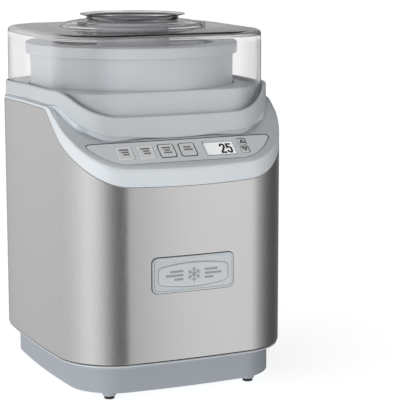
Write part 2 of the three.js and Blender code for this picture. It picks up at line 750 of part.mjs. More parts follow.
// -------------------------------------------------------------- bowl and lid

function bowlOuterShell() {
  const shell = turned([
    [0, BOWL_BOTTOM], [86, BOWL_BOTTOM], [92.8, 159],
    [BOWL_RADIUS, BOWL_RIM_BOTTOM - 0.4], [BOWL_RADIUS - 2.2, BOWL_RIM_BOTTOM - 0.4],
    [90.6, 161], [84.8, 155], [30, 155], [30, 160], [0, 160],
  ], 32);
  const socket = post(SOCKET_RADIUS, BOWL_BOTTOM - 1, 157.2, 0, 0, 6);
  return cut(shell, socket).translate(0, AXIS_Y, 0);
}

function bowlLiner() {
  return turned([
    [0, 170.4], [70.5, 170.4], [77, 178], [78.6, 305.5], [LINER_RADIUS, 305.5],
    [75.5, 178.5], [69.8, LINER_FLOOR], [0, LINER_FLOOR],
  ]).translate(0, AXIS_Y, 0);
}

function bowlCoolant() {
  return turned([
    [0, 161], [88, 161], [91.4, 297], [79.8, 297], [78.2, 177.2], [71, 169.4], [0, 169.4],
  ], 24).translate(0, AXIS_Y, 0);
}

function bowlRimRing() {
  return turned(closedProfile([
    [90, BOWL_RIM_BOTTOM], [BOWL_RIM_RADIUS, BOWL_RIM_BOTTOM],
    [BOWL_RIM_RADIUS, BOWL_RIM_TOP - 1], [97.7, BOWL_RIM_TOP], [78.6, BOWL_RIM_TOP],
    [77.4, 305.9], [90, 305.9],
  ]), 32).translate(0, AXIS_Y, 0);
}

function clearLid() {
  const t = LID_THICKNESS;
  const round = (radius) => circle(radius, lid(0));
  const foot = (x, y) => troughUnderside(x, y) + TROUGH_THICKNESS + 1;
  const shell = loft([
    atHeight(lid(0), foot),
    atHeight(lid(0.2), LID_WALL_TOP),
    atHeight(lid(2), 319),
    atHeight(lid(6), LID_TOP),
    atHeight(round(DOME_RADIUS), 322),
    atHeight(round(62), 325.3),
    atHeight(round(53), 327.6),
    atHeight(round(SPOUT_RADIUS), 327.8),
    atHeight(round(SPOUT_RADIUS), 327.8 - t),
    atHeight(round(52.4), 327.6 - t),
    atHeight(round(61), 325.3 - t),
    atHeight(round(66.6), 322 - t),
    atHeight(lid(6.4), LID_TOP - t),
    atHeight(lid(3.6), 317),
    atHeight(lid(t + 0.1), 313.8),
    atHeight(lid(t), (x, y, i) => foot(...lid(0)[i])),
  ]);
  const lug = (radius, angle, bottom, top) => (
    block([radius - 3, -5.5, bottom], [radius + 3, 5.5, top])
      .rotateZ(THREE.MathUtils.degToRad(angle)).translate(0, AXIS_Y, 0));
  return join(shell, lug(56, 195, 324.5, 330), lug(62, 335, 322, 329));
}

function spoutCap() {
  return turned([
    [0, 326.8], [34.8, 326.8], [34.8, 324.4], [37.2, 324.4], [37.2, 328.3], [40, 328.3],
    [44.4, 331.7], [CAP_RADIUS, 333.5], [48.9, CAP_TOP], [43, 332.6], [36, 328.7], [0, 328.7],
  ], 28).translate(0, AXIS_Y, 0);
}

// Fixed paddle: scraper arms near the liner, a floor blade and the collar that the
// lid holds still while the bowl turns round it.
function mixingPaddle() {
  const arm = (side) => block([-2.5, -8, 177], [2.5, 8, 305])
    .rotateZ(side * THREE.MathUtils.degToRad(25)).translate(side * 66.5, 0, 0);
  const rib = (side) => block([-3, -3, 180], [3, 3, 300])
    .rotateZ(side * THREE.MathUtils.degToRad(-30)).translate(side * 32, 0, 0);
  const collar = turned(closedProfile([[32.4, 303], [34, 303], [34, 323.6], [32.4, 323.6]]), 20);
  return join(
    block([-68, -5, 174.6], [68, 5, 182]),
    block([-67, -5.5, 298], [67, 5.5, 305]),
    arm(-1), arm(1), rib(-1), rib(1), collar,
  ).translate(0, AXIS_Y, 0);
}

// ------------------------------------------------------------------- assembly

const machine = new THREE.Group();

function add(name, geometry, surface) {
  geometry.translate(0, 0, DATUM);
  const mesh = new THREE.Mesh(geometry, new THREE.MeshStandardMaterial(surface));
  mesh.name = name;
  machine.add(mesh);
  return mesh;
}

const sides = { left: -1, right: 1 };
const ends = { front: -1, rear: 1 };

add('base_pan', basePan(), PLINTH_PLASTIC);
for (const [end, y] of Object.entries(ends)) {
  for (const [side, x] of Object.entries(sides)) {
    add(`foot_${end}_${side}`, foot(), RUBBER).position.set(x * FOOT_X, y * FOOT_Y, 0);
  }
}
add('cord_gland', cordGland(), DARK_PLASTIC);
add('steel_wrap', steelWrap(), STEEL);
add('badge_plate', badgePlate(), STEEL);
add('top_housing', topHousing(), SILVER_PLASTIC);
add('deck_ring', deckRing(), SILVER_PLASTIC);
add('bowl_well', bowlWell(), SILVER_PLASTIC);

add('control_fascia', controlFascia(), PANEL_PLASTIC);
KEYS.forEach((spec) => add(spec.name, key(spec), KEY_PLASTIC));
add('display_window', displayWindow(), CLEAR);
add('display_module', displayModule(), WHITE_PLASTIC);
add('control_board', controlBoard(), CIRCUIT);

add('gearbox_case', gearboxCase(), DARK_PLASTIC);
add('gearbox_cover', gearboxCover(), DARK_PLASTIC);
add('lower_bush', lowerBush(), BRONZE);
add('upper_bush', upperBush(), BRONZE);
add('drive_shaft', post(5, 108, 146.6, 0, AXIS_Y, 16), STEEL);
add('output_gear', outputGear(), GEAR_PLASTIC);
add('idler_gear', idlerGear(), GEAR_PLASTIC);
add('idler_axle', post(3, 110, 134, IDLER_X, AXIS_Y, 12), STEEL);
add('turntable', turntable(), WHITE_PLASTIC);
add('motor_can', motorCan(), STEEL);
add('motor_end_cap', motorEndCap(), STEEL);
add('motor_stator', motorStator(), STEEL);
add('motor_windings', motorWindings(), COPPER);
add('motor_rotor', motorRotor(), STEEL);
add('motor_pinion', motorPinion(), BRONZE);
add('cooling_fan', coolingFan(), DARK_PLASTIC);
add('power_board', powerBoard(), CIRCUIT);

LEGS.forEach(([x, y], i) => {
  add(`base_screw_${i + 1}`, screw(4, 2, 24, x, y, FOOT_HEIGHT - GAP, 1), STEEL);
});
STANDOFFS.forEach(([x, y], i) => {
  add(`well_screw_${i + 1}`, screw(4, 1.5, 7, x, y, WELL_FLOOR_TOP + GAP, -1), STEEL);
});
MOTOR_SCREWS.forEach(([x, y], i) => {
  add(`motor_screw_${i + 1}`, screw(3.6, 1.8, 6, x, y, CASE_BOTTOM + CASE_WALL + GAP, -1), STEEL);
});

add('bowl_outer_shell', bowlOuterShell(), BOWL_PLASTIC);
add('bowl_liner', bowlLiner(), ALUMINIUM);
add('bowl_coolant', bowlCoolant(), GEL);
add('bowl_rim_ring', bowlRimRing(), BOWL_PLASTIC);
add('mixing_paddle', mixingPaddle(), WHITE_PLASTIC);
add('lid', clearLid(), CLEAR);
add('spout_cap', spoutCap(), CLEAR);

export default machine;
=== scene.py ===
"""Ice cream maker: the looks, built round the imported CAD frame.

Shapes are worked out in millimetres above the CAD's datum plane and written to the
meshes in metres.
"""

import json
import math

import bmesh
import bpy
import numpy as np
from mathutils import Matrix, Vector


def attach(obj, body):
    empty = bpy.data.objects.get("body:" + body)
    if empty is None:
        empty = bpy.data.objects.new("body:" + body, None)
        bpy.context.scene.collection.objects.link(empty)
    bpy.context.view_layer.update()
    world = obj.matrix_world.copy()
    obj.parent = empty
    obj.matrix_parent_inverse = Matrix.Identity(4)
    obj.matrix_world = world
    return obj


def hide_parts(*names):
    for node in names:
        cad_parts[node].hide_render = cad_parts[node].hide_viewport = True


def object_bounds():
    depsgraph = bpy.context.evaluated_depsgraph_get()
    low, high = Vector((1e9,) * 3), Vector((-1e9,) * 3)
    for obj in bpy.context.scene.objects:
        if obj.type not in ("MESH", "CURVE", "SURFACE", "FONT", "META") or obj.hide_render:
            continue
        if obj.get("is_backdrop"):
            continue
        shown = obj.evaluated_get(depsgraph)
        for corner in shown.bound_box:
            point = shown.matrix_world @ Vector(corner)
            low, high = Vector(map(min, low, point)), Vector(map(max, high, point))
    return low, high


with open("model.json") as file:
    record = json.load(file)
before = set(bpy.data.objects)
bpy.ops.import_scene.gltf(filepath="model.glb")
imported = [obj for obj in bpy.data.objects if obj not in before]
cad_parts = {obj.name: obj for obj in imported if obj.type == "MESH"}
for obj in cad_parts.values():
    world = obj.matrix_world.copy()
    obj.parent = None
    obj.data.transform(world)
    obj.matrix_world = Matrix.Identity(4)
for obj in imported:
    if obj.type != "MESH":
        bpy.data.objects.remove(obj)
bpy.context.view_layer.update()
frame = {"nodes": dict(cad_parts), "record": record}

# ---- dimensions

MM = 0.001
DATUM = 2.6                     # height of the datum plane above the floor
GAP = 0.35                      # clearance at the seams between mouldings
AXIS_Y = 14.8                   # the bowl's axis is at x = 0 and this y

# half_x, half_y, corner radius, bow of the faces, centre y
BODY = (104, 115.6, 45.3, 5.88, 0)
RING = (106, 106, 50, 1.5, AXIS_Y)
LID = (102, 102, 48, 1.5, AXIS_Y)
PEDESTAL = (96.5, 96.5, 43, 1.5, AXIS_Y)

FOOT_HEIGHT = 5
FOOT_X, FOOT_Y = 69, 93
FOOT_RADIUS = 6.4
PAD_RADIUS = 4.7
PLINTH_INSET = 10.3
PLINTH_FLOOR = 2.5
PLINTH_SHOULDER = 26.6          # where the plinth starts to flare out to the steel
PLINTH_FLARE = 30.2
PLINTH_TOP = 32.4
STEEL_SEAT = 44                 # top of the rim inside the foot of the steel
STEEL_BOTTOM = 33.9
STEEL_THICKNESS = 0.8
HOUSING_SKIRT = 14              # how far the housing reaches down inside the steel
HOUSING_INNER = 4.2             # inset of the housing's inner face
TROUGH_UNDERSIDE = 246
TROUGH_THICKNESS = 3
PEDESTAL_TOP = 270
WELL_RADIUS = 96
WELL_RIM = 245.6
LEGS = [(-76, -29.2), (76, -29.2), (76, 58.8), (-76, 58.8)]
GLAND_X, GLAND_Z = 48, 18
GLAND_REAR = 111                # y of the gland's own origin, near the rear face
BOWL_BOTTOM = 152.1
BOWL_RADIUS = 94.5
BOWL_RIM_RADIUS = 98.7
BOWL_RIM_BOTTOM = 298.3
BOWL_RIM_TOP = 308.5
LINER_RADIUS = 77.1
LID_THICKNESS = 2.3
LID_TOP = 321
DOME_RADIUS = 67.5
SPOUT_RADIUS = 38.8
CAP_RADIUS = 49.5
CAP_TOP = 333.9
PANEL_ANGLE = math.atan(0.8)
PANEL_ORIGIN = (-119.5, 208)    # y, z of the sloped panel's front edge
FASCIA_BACK, FASCIA_TOP, FASCIA_EDGE = -2.4, -0.15, 0.3
SEAL_WIDTH = 0.75               # dark line round the fascia
DISPLAY = (34.8, 19.4, 29.8, 18.4)          # x, up the slope, width, height
LCD = (34.9, 18.9, 28.2, 14.8)
BADGE = (1.1, 111.8, 79, 32, 5)             # x, z, width, height, corner radius
BADGE_MIDDLE = 110.9                        # z of the badge's inner panel and relief

TURN = 144                      # stations round a turned piece


# ---- contour functions

def smooth_min(a, b, width):
    h = np.maximum(width - np.abs(a - b), 0) / width
    return np.minimum(a, b) - h * h * width / 4


def smooth_step(value, low, high):
    t = np.clip((value - low) / (high - low), 0, 1)
    return t * t * (3 - 2 * t)


def rear_fall(y):
    return 0.033 * np.maximum(0, y - 10)


def steel_top(y):
    return smooth_min(192.5 + 0.86 * (y + 119), 255, 4.5) - rear_fall(y)


def panel_height(y):
    return smooth_min(208 + 0.8 * (y + 119.5), 257.8, 4.5) - rear_fall(y)


def ring_bottom(x, y):
    sag = np.where(y < 0, 2.7 * np.maximum(0, 1 - (x / 48) ** 2), 0)
    return smooth_min(234.3 + 0.83 * (y + 90.2), 258.9, 4) - sag - rear_fall(y)


def ring_top(y):
    return smooth_min(252 + 0.83 * (y + 90.3), 272.5, 8) - rear_fall(y)


def trough_underside(x, y):
    return np.maximum(TROUGH_UNDERSIDE, ring_bottom(x, y))


CORNER, FACE, SIDE = 26, 26, 44         # segments in each part of an outline


def outline(spec, inset=0.0):
    """Stations counter-clockwise round a rounded rectangle whose faces bow outwards."""
    half_x, half_y, radius, bow, centre_y = spec
    a, b, r = half_x - inset, half_y - inset, radius - inset
    cx, cy = a - r, b - r
    flat = []

    def corner(x, y, start):
        for i in range(CORNER + 1):
            angle = start + i / CORNER * math.pi / 2
            flat.append((x + r * math.cos(angle), y + r * math.sin(angle)))

    def side(x0, y0, x1, y1, count):
        for i in range(1, count):
            t = i / count
            flat.append((x0 + (x1 - x0) * t, y0 + (y1 - y0) * t))

    corner(-cx, -cy, math.pi)
    side(-cx, -b, cx, -b, FACE)
    corner(cx, -cy, -math.pi / 2)
    side(a, -cy, a, cy, SIDE)
    corner(cx, cy, 0)
    side(cx, b, -cx, b, FACE)
    corner(-cx, cy, math.pi / 2)
    side(-a, cy, -a, -cy, SIDE)
    p = np.array(flat)
    x, y = p[:, 0], p[:, 1]
    return np.stack([x * (1 + bow / a * (1 - (y / b) ** 2)),
                     y * (1 + bow / b * (1 - (x / a) ** 2)) + centre_y], 1)


def upper_outline(spec, inset, rear_inset):
    """Behind the bowl axis the ring and the lid leave their own outline for the body's."""
    own, rear = outline(spec, inset), outline(BODY, rear_inset)
    share = smooth_step(own[:, 1], 10, 85)[:, None]
    return own + (rear - own) * share


def body(inset=0.0):
    return outline(BODY, inset)


def ring(inset=0.0):
    return upper_outline(RING, inset, 1.5 + 0.65 * inset)


def lid(inset=0.0):
    return upper_outline(LID, inset, 4.1 + inset)


def pedestal(inset=0.0):
    return outline(PEDESTAL, inset)


def circle(radius, stations):
    """A circle about the bowl axis with its stations in line with those of an outline."""
    angle = np.arctan2(stations[:, 1] - AXIS_Y, stations[:, 0])
    return np.stack([radius * np.cos(angle), AXIS_Y + radius * np.sin(angle)], 1)


def at(stations, z):
    return np.column_stack([stations, np.broadcast_to(z, len(stations))])


# ---- mesh building

def rounded(rings, radii, closed, steps=4):
    """Rings of a loft, with the corners of its profile rounded by the radii given."""
    out = []
    count = len(rings)
    for i, (here, radius) in enumerate(zip(rings, radii)):
        ends = not closed and i in (0, count - 1)
        if not radius or ends:
            out.append(here)
            continue
        before, after = rings[i - 1], rings[(i + 1) % count]
        arms = []
        for other in (before, after):
            arm = other - here
            length = np.maximum(np.linalg.norm(arm, axis=1, keepdims=True), 1e-6)
            arms.append(arm / length * np.minimum(radius, 0.48 * length))
        start, end = here + arms[0], here + arms[1]
        for k in range(steps + 1):
            t = k / steps
            out.append((1 - t) ** 2 * start + 2 * t * (1 - t) * here + t * t * end)
    return out


PIECES = []


def linked(name, data):
    obj = bpy.data.objects.new(name, data)
    bpy.context.scene.collection.objects.link(obj)
    return obj


def mesh_of(name, vertices, faces):
    """A mesh in metres from points in millimetres above the datum plane."""
    mesh = bpy.data.meshes.new(name)
    points = (np.asarray(vertices, float) + (0, 0, DATUM)) * MM
    mesh.from_pydata(points.tolist(), [], faces)
    return mesh


def finish_mesh(mesh, sharp):
    mesh.update()
    mesh.shade_smooth()
    mesh.set_sharp_from_angle(angle=math.radians(sharp))


def piece(name, vertices, faces, material, body_name, slot=None, stands_for=(), sharp=38):
    """A mesh object from points in millimetres, riding on a CAD body."""
    mesh = mesh_of(name, vertices, faces)
    mesh.validate()
    finish_mesh(mesh, sharp)
    mesh.materials.append(material)
    obj = linked(name, mesh)
    PIECES.append(obj)
    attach(obj, body_name)
    if stands_for:
        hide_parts(*stands_for)
    return obj


def skin(profile, closed=True, steps=4, last_cap=True):
    """Vertices and faces through a profile of (ring, rounding radius)."""
    rings = rounded([p[0] for p in profile], [p[1] for p in profile], closed, steps)
    count = len(rings[0])
    vertices = np.concatenate(rings)
    faces = []
    for i in range(len(rings) if closed else len(rings) - 1):
        k = (i + 1) % len(rings)
        for j in range(count):
            n = (j + 1) % count
            faces.append((i * count + j, i * count + n, k * count + n, k * count + j))
    if not closed:
        faces.append(tuple(reversed(range(count))))
        if last_cap:
            faces.append(tuple((len(rings) - 1) * count + j for j in range(count)))
    return vertices, faces


def turned(profile, x=0.0, y=AXIS_Y, steps=TURN, closed=True, rounding=4):
    """Like skin, for a solid of revolution from (radius, z, rounding radius) points."""
    angle = np.arange(steps) / steps * 2 * math.pi

    def station(r, z):
        return np.stack([x + r * np.cos(angle), y + r * np.sin(angle),
                         np.full(steps, float(z))], 1)

    return skin([(station(r, z), radius) for r, z, radius in profile], closed, rounding)


def merged(*parts):
    vertices, faces, start = [], [], 0
    for v, f in parts:
        vertices.append(np.asarray(v, float))
        faces += [tuple(i + start for i in face) for face in f]
        start += len(v)
    return np.concatenate(vertices), faces


def rounded_rectangle(width, height, radius, x=0.0, y=0.0, steps=6, across=1, along=1):
    """Counter-clockwise outline, its long sides split in across and its others in along."""
    out = []
    for sx, sy, start in ((1, 1, 0), (-1, 1, 1), (-1, -1, 2), (1, -1, 3)):
        for i in range(steps + 1):
            angle = (start + i / steps) * math.pi / 2
            out.append((x + sx * (width / 2 - radius) + radius * math.cos(angle),
                        y + sy * (height / 2 - radius) + radius * math.sin(angle)))
        (x0, y0), parts = out[-1], along if start % 2 else across
        nx, ny = ((-sx, sy) if start % 2 == 0 else (sx, -sy))
        x1 = x0 if start % 2 else x + nx * (width / 2 - radius)
        y1 = y + ny * (height / 2 - radius) if start % 2 else y0
        out += [(x0 + (x1 - x0) * k / parts, y0 + (y1 - y0) * k / parts)
                for k in range(1, parts)]
    return np.array(out)


def inset_rectangle(inset, width, height, radius, x=0.0, y=0.0, least=0.3, **splits):
    return rounded_rectangle(width - 2 * inset, height - 2 * inset,
                             max(radius - inset, least), x, y, **splits)


def frame_ring(outer, inner, bottom, top):
    """A flat ring between two outlines with matching stations."""
    return skin([(at(outer, bottom), 0), (at(outer, top), 0.1), (at(inner, top), 0.1),
                 (at(inner, bottom), 0)])


def ribbon(points, width, bottom, top):
    """A flat stroke of constant width along a path, with mitred corners."""
    p = np.array(points, float)
    step = np.diff(p, axis=0)
    step /= np.linalg.norm(step, axis=1, keepdims=True)
    side = np.column_stack([-step[:, 1], step[:, 0]])
    mitre = np.concatenate([side[:1], side[:-1] + side[1:], side[-1:]])
    mitre /= np.linalg.norm(mitre, axis=1, keepdims=True)
    share = np.sum(mitre * np.concatenate([side, side[-1:]]), axis=1, keepdims=True)
    reach = mitre * width / 2 / np.maximum(share, 0.5)
    vertices, faces = [], []
    for point, off in zip(p, reach):
        for q, z in ((point - off, bottom), (point - off, top), (point + off, top),
                     (point + off, bottom)):
            vertices.append((q[0], q[1], z))
    for i in range(len(p) - 1):
        for k in range(4):
            n = (k + 1) % 4
            faces.append((4 * i + k, 4 * i + 4 + k, 4 * i + 4 + n, 4 * i + n))
    faces.append((0, 1, 2, 3))
    last = 4 * (len(p) - 1)
    faces.append((last + 3, last + 2, last + 1, last))
    return np.array(vertices), faces


def prism(outline_at, bottom, top, edge=0.8):
    """An upright bar over an outline given by its inset, with rounded ends."""
    quarter = [i / 3 * math.pi / 2 for i in range(4)]
    lower = [(edge * (1 - math.sin(a)), bottom + edge * (1 - math.cos(a))) for a in quarter]
    upper = [(edge * (1 - math.cos(a)), top - edge * (1 - math.sin(a))) for a in quarter]
    return skin([(at(outline_at(inset), z), 0) for inset, z in lower + upper], closed=False)


def turned_about(part, angle, x=0.0, y=AXIS_Y):
    """A part made about the origin, turned by an angle in degrees and moved."""
    vertices, faces = part
    c, s = math.cos(math.radians(angle)), math.sin(math.radians(angle))
    v = np.asarray(vertices, float)
    return np.stack([x + v[:, 0] * c - v[:, 1] * s, y + v[:, 0] * s + v[:, 1] * c, v[:, 2]],
                    1), faces


def box_points(low, high):
    (x0, y0, z0), (x1, y1, z1) = low, high
    vertices = [(x, y, z) for z in (z0, z1) for y in (y0, y1) for x in (x0, x1)]
    faces = [(0, 2, 3, 1), (4, 5, 7, 6), (0, 1, 5, 4), (2, 6, 7, 3), (0, 4, 6, 2), (1, 3, 7, 5)]
    return np.array(vertices, float), faces


def on_panel(points):
    """From x, distance up the slope and height above it to the sloped panel."""
    p = np.asarray(points, float)
    c, s = math.cos(PANEL_ANGLE), math.sin(PANEL_ANGLE)
    return np.stack([p[:, 0],
                     PANEL_ORIGIN[0] + p[:, 1] * c - p[:, 2] * s,
                     PANEL_ORIGIN[1] + p[:, 1] * s + p[:, 2] * c], 1)


def on_front(points):
    """From x, height and distance proud of the steel to the bowed front face."""
    p = np.asarray(points, float)
    half_x, half_y, _, bow, _ = BODY
    y = -(half_y + bow * (1 - (p[:, 0] / half_x) ** 2)) - p[:, 2]
    return np.stack([p[:, 0], y, p[:, 1]], 1)


def laid(surface, part):
    """A flat part carried to on_panel's or on_front's surface."""
    vertices, faces = part
    return surface(vertices), faces


def slab(shape, bottom, top, edge, steps=4):
    """A plate over a flat outline given as a function of its inset, with a rounded edge."""
    profile = [(at(shape(0), bottom), 0)]
    for i in range(steps + 1):
        angle = i / steps * math.pi / 2
        profile.append((at(shape(edge * (1 - math.cos(angle))),
                           top - edge * (1 - math.sin(angle))), 0))
    return skin(profile, closed=False)


def cut_with(obj, cutters, sharp=38):
    """Cuts each (vertices, faces) solid in millimetres out of a piece."""
    for vertices, faces in cutters:
        mesh = mesh_of("cutter", vertices, faces)
        cutter = linked("cutter", mesh)
        work = obj.modifiers.new("cut", "BOOLEAN")
        work.operation, work.solver, work.object = "DIFFERENCE", "EXACT", cutter
        bpy.context.view_layer.update()
        evaluated = obj.evaluated_get(bpy.context.evaluated_depsgraph_get())
        result = bpy.data.meshes.new_from_object(evaluated)
        obj.modifiers.remove(work)
        bpy.data.objects.remove(cutter)
        bpy.data.meshes.remove(mesh)
        materials = list(obj.data.materials)
        obj.data = result
        result.materials.clear()
        for material in materials:
            result.materials.append(material)
    finish_mesh(obj.data, sharp)
    return obj


# ---- materials

def new_material(name):
    material = bpy.data.materials.new(name)
    material.use_nodes = True
    tree = material.node_tree
    shader = tree.nodes["Principled BSDF"]
    return material, tree, shader


def coordinates(tree, scale):
    """Object coordinates scaled on each axis, the same on every piece."""
    source = tree.nodes.new("ShaderNodeTexCoord")
    mapping = tree.nodes.new("ShaderNodeMapping")
    mapping.inputs["Scale"].default_value = scale
    tree.links.new(source.outputs["Object"], mapping.inputs["Vector"])
    return mapping.outputs["Vector"]


def noise(tree, scale, detail=3.0, roughness=0.55):
    node = tree.nodes.new("ShaderNodeTexNoise")
    node.inputs["Scale"].default_value = 1.0
    node.inputs["Detail"].default_value = detail
    node.inputs["Roughness"].default_value = roughness
    tree.links.new(coordinates(tree, scale), node.inputs["Vector"])
    return node.outputs["Fac"]


def mapped(tree, value, low, high, from_low=0.3, from_high=0.7):
    node = tree.nodes.new("ShaderNodeMapRange")
    node.inputs["From Min"].default_value = from_low
    node.inputs["From Max"].default_value = from_high
    node.inputs["To Min"].default_value = low
    node.inputs["To Max"].default_value = high
    tree.links.new(value, node.inputs["Value"])
    return node.outputs["Result"]


def math_node(tree, operation, *values):
    node = tree.nodes.new("ShaderNodeMath")
    node.operation = operation
    for i, value in enumerate(values):
        if isinstance(value, (int, float)):
            node.inputs[i].default_value = value
        else:
            tree.links.new(value, node.inputs[i])
    return node.outputs["Value"]


def color_mix(tree, factor, a, b, blend="MIX"):
    """A mix of two colours, each given as a socket or as red, green and blue."""
    node = tree.nodes.new("ShaderNodeMix")
    node.data_type, node.blend_type = "RGBA", blend
    for name, value in (("Factor", factor), ("A", a), ("B", b)):
        if isinstance(value, bpy.types.NodeSocket):
            tree.links.new(value, node.inputs[name])
        else:
            node.inputs[name].default_value = (*value, 1) if name != "Factor" else value
    return node.outputs["Result"]


def tinted(tree, color, value, low, high):
    """The colour made lighter and darker by a value."""
    shade = tree.nodes.new("ShaderNodeCombineColor")
    level = mapped(tree, value, low, high)
    for channel in ("Red", "Green", "Blue"):
        tree.links.new(level, shade.inputs[channel])
    return color_mix(tree, 1.0, color, shade.outputs["Color"], "MULTIPLY")


def bump(tree, shader, height, distance):
    node = tree.nodes.new("ShaderNodeBump")
    node.inputs["Distance"].default_value = distance
    node.inputs["Strength"].default_value = 1.0
    tree.links.new(height, node.inputs["Height"])
    tree.links.new(node.outputs["Normal"], shader.inputs["Normal"])


def moulded(name, color, roughness=0.4, grain=900.0, depth=0.00003, metallic=0.0,
            mottle=0.02):
    """Injection-moulded plastic: fine spark-eroded grain and slight colour variation."""
    material, tree, shader = new_material(name)
    fine = noise(tree, (grain,) * 3, 4.0)
    broad = noise(tree, (18.0,) * 3, 2.0)
    tree.links.new(tinted(tree, color, broad, 1 - mottle, 1 + mottle),
                   shader.inputs["Base Color"])
    tree.links.new(mapped(tree, fine, roughness - 0.05, roughness + 0.05),
                   shader.inputs["Roughness"])
    shader.inputs["Metallic"].default_value = metallic
    bump(tree, shader, fine, depth)
    return material


def metal(name, color, roughness, stretch=(400.0, 400.0, 400.0), depth=0.00001,
          mottle=0.03):
    """Bare metal with a grain stretched along one axis by the scale given."""
    material, tree, shader = new_material(name)
    grain = noise(tree, stretch, 4.0, 0.65)
    tree.links.new(tinted(tree, color, grain, 1 - mottle, 1 + mottle),
                   shader.inputs["Base Color"])
    tree.links.new(mapped(tree, grain, roughness - 0.06, roughness + 0.06),
                   shader.inputs["Roughness"])
    shader.inputs["Metallic"].default_value = 1.0
    bump(tree, shader, grain, depth)
    return material


def clear(name, color, top_shade_color, edge_shade_color, roughness=0.03, wave=0.00002,
          from_z=0.317, to_z=0.324):
    """Clear moulded plastic with faint flow marks.

    It has painted shade: it is darker above from_z to to_z, and its walls are darkened
    where they are seen edge on and where they turn a corner.
    """
    material, tree, shader = new_material(name)
    place = tree.nodes.new("ShaderNodeSeparateXYZ")
    tree.links.new(coordinates(tree, (1, 1, 1)), place.inputs["Vector"])
    # Painted shade: the top is darker from from_z to to_z.
    shaded_top = color_mix(tree, mapped(tree, place.outputs["Z"], 0, 1, from_z, to_z), color,
                      top_shade_color)
    grazing = tree.nodes.new("ShaderNodeLayerWeight")
    grazing.inputs["Blend"].default_value = 0.5
    walls = mapped(tree, place.outputs["Z"], 1, 0, from_z - 0.004, from_z)
    normal = tree.nodes.new("ShaderNodeSeparateXYZ")
    tree.links.new(tree.nodes.new("ShaderNodeNewGeometry").outputs["Normal"],
                   normal.inputs["Vector"])
    turning = math_node(tree, "ABSOLUTE", math_node(
        tree, "MULTIPLY", normal.outputs["X"], normal.outputs["Y"]))
    corner = mapped(tree, turning, 0, 0.17, 0.2, 0.42)
    edge_on = mapped(tree, grazing.outputs["Facing"], 0, 1, 0.70, 0.84)
    # Painted shade: walls darkened where seen edge on and where they turn a corner.
    darkening = math_node(tree, "MULTIPLY", walls,
                          math_node(tree, "MAXIMUM", corner, edge_on))
    tree.links.new(color_mix(tree, darkening, shaded_top, edge_shade_color),
                   shader.inputs["Base Color"])
    shader.inputs["Transmission Weight"].default_value = 1.0
    shader.inputs["IOR"].default_value = 1.49
    shader.inputs["Specular IOR Level"].default_value = 0.3
    flow = noise(tree, (14.0, 14.0, 22.0), 2.0)
    tree.links.new(mapped(tree, flow, roughness * 0.6, roughness * 1.4),
                   shader.inputs["Roughness"])
    bump(tree, shader, flow, wave)
    # Light from lamps and the studio reaches what is behind the plastic.
    path = tree.nodes.new("ShaderNodeLightPath")
    through = tree.nodes.new("ShaderNodeBsdfTransparent")
    through.inputs["Color"].default_value = (0.97, 0.97, 0.97, 1)
    surface = shader.outputs["BSDF"]
    for kind in ("Is Diffuse Ray", "Is Shadow Ray"):
        choose = tree.nodes.new("ShaderNodeMixShader")
        tree.links.new(path.outputs[kind], choose.inputs["Fac"])
        tree.links.new(surface, choose.inputs[1])
        tree.links.new(through.outputs["BSDF"], choose.inputs[2])
        surface = choose.outputs["Shader"]
    tree.links.new(surface, tree.nodes["Material Output"].inputs["Surface"])
    return material


SILVER = moulded("silver_plastic", (0.68, 0.72, 0.75), 0.38, metallic=0.1)
# A lighter copy of the silver plastic: painted light on the upright band under the panel.
LIT_BAND = moulded("silver_plastic_lit_copy", (0.86, 0.91, 0.95), 0.34, metallic=0.1)
PLINTH = moulded("plinth_plastic", (0.42, 0.46, 0.50), 0.42, metallic=0.1)
FASCIA = moulded("fascia_plastic", (0.84, 0.87, 0.90), 0.36)
KEY = moulded("key_plastic", (0.86, 0.87, 0.87), 0.42)
# A near-white copy of the key plastic: a painted highlight on the keys' rounded edges.
KEY_EDGE_HIGHLIGHT = moulded("key_rim_highlight", (0.96, 0.96, 0.96), 0.35)
# Dark rubber, also used for painted shade in the gap under the steel and round the keys.
SEAL_AND_SHADE = moulded("seal_rubber_and_shade", (0.030, 0.033, 0.036), 0.5)
MARK = moulded("key_marks", (0.22, 0.22, 0.24), 0.5)
BEZEL = moulded("display_bezel", (0.88, 0.90, 0.92), 0.38)
RUBBER = moulded("foot_rubber", (0.035, 0.035, 0.036), 0.75, 700.0, 0.00008)
BOWL = moulded("bowl_plastic", (0.66, 0.70, 0.73), 0.42, metallic=0.1)
WHITE = moulded("white_plastic", (0.78, 0.78, 0.77), 0.4)
PADDLE = moulded("paddle_plastic", (0.60, 0.61, 0.64), 0.4)
DARK = moulded("dark_plastic", (0.06, 0.065, 0.07), 0.5)
GEAR = moulded("gear_plastic", (0.76, 0.72, 0.60), 0.4)
CIRCUIT = moulded("circuit_board", (0.03, 0.15, 0.07), 0.4)
GEL = moulded("coolant_gel", (0.30, 0.50, 0.65), 0.25)
STEEL = metal("brushed_steel", (0.62, 0.62, 0.62), 0.24, (1500.0, 1500.0, 60.0), 0.000008,
              0.05)
BADGE_METAL = moulded("badge_silver", (0.66, 0.70, 0.73), 0.3, 1200.0, 0.00001, 0.5)
BADGE_FACE = moulded("badge_face", (0.72, 0.76, 0.78), 0.35, 1200.0, 0.00001, 0.2)
BADGE_RELIEF = moulded("badge_relief", (0.36, 0.39, 0.42), 0.3, 1200.0, 0.00001, 0.5)
ZINC = metal("zinc_steel", (0.55, 0.56, 0.57), 0.35)
ALUMINIUM = metal("spun_aluminium", (0.66, 0.67, 0.68), 0.3, (300.0, 300.0, 2500.0), 0.00001)
COPPER = metal("copper_wire", (0.50, 0.20, 0.09), 0.35, (200.0, 200.0, 2500.0), 0.0002)
BRONZE = metal("sintered_bronze", (0.45, 0.28, 0.11), 0.45)
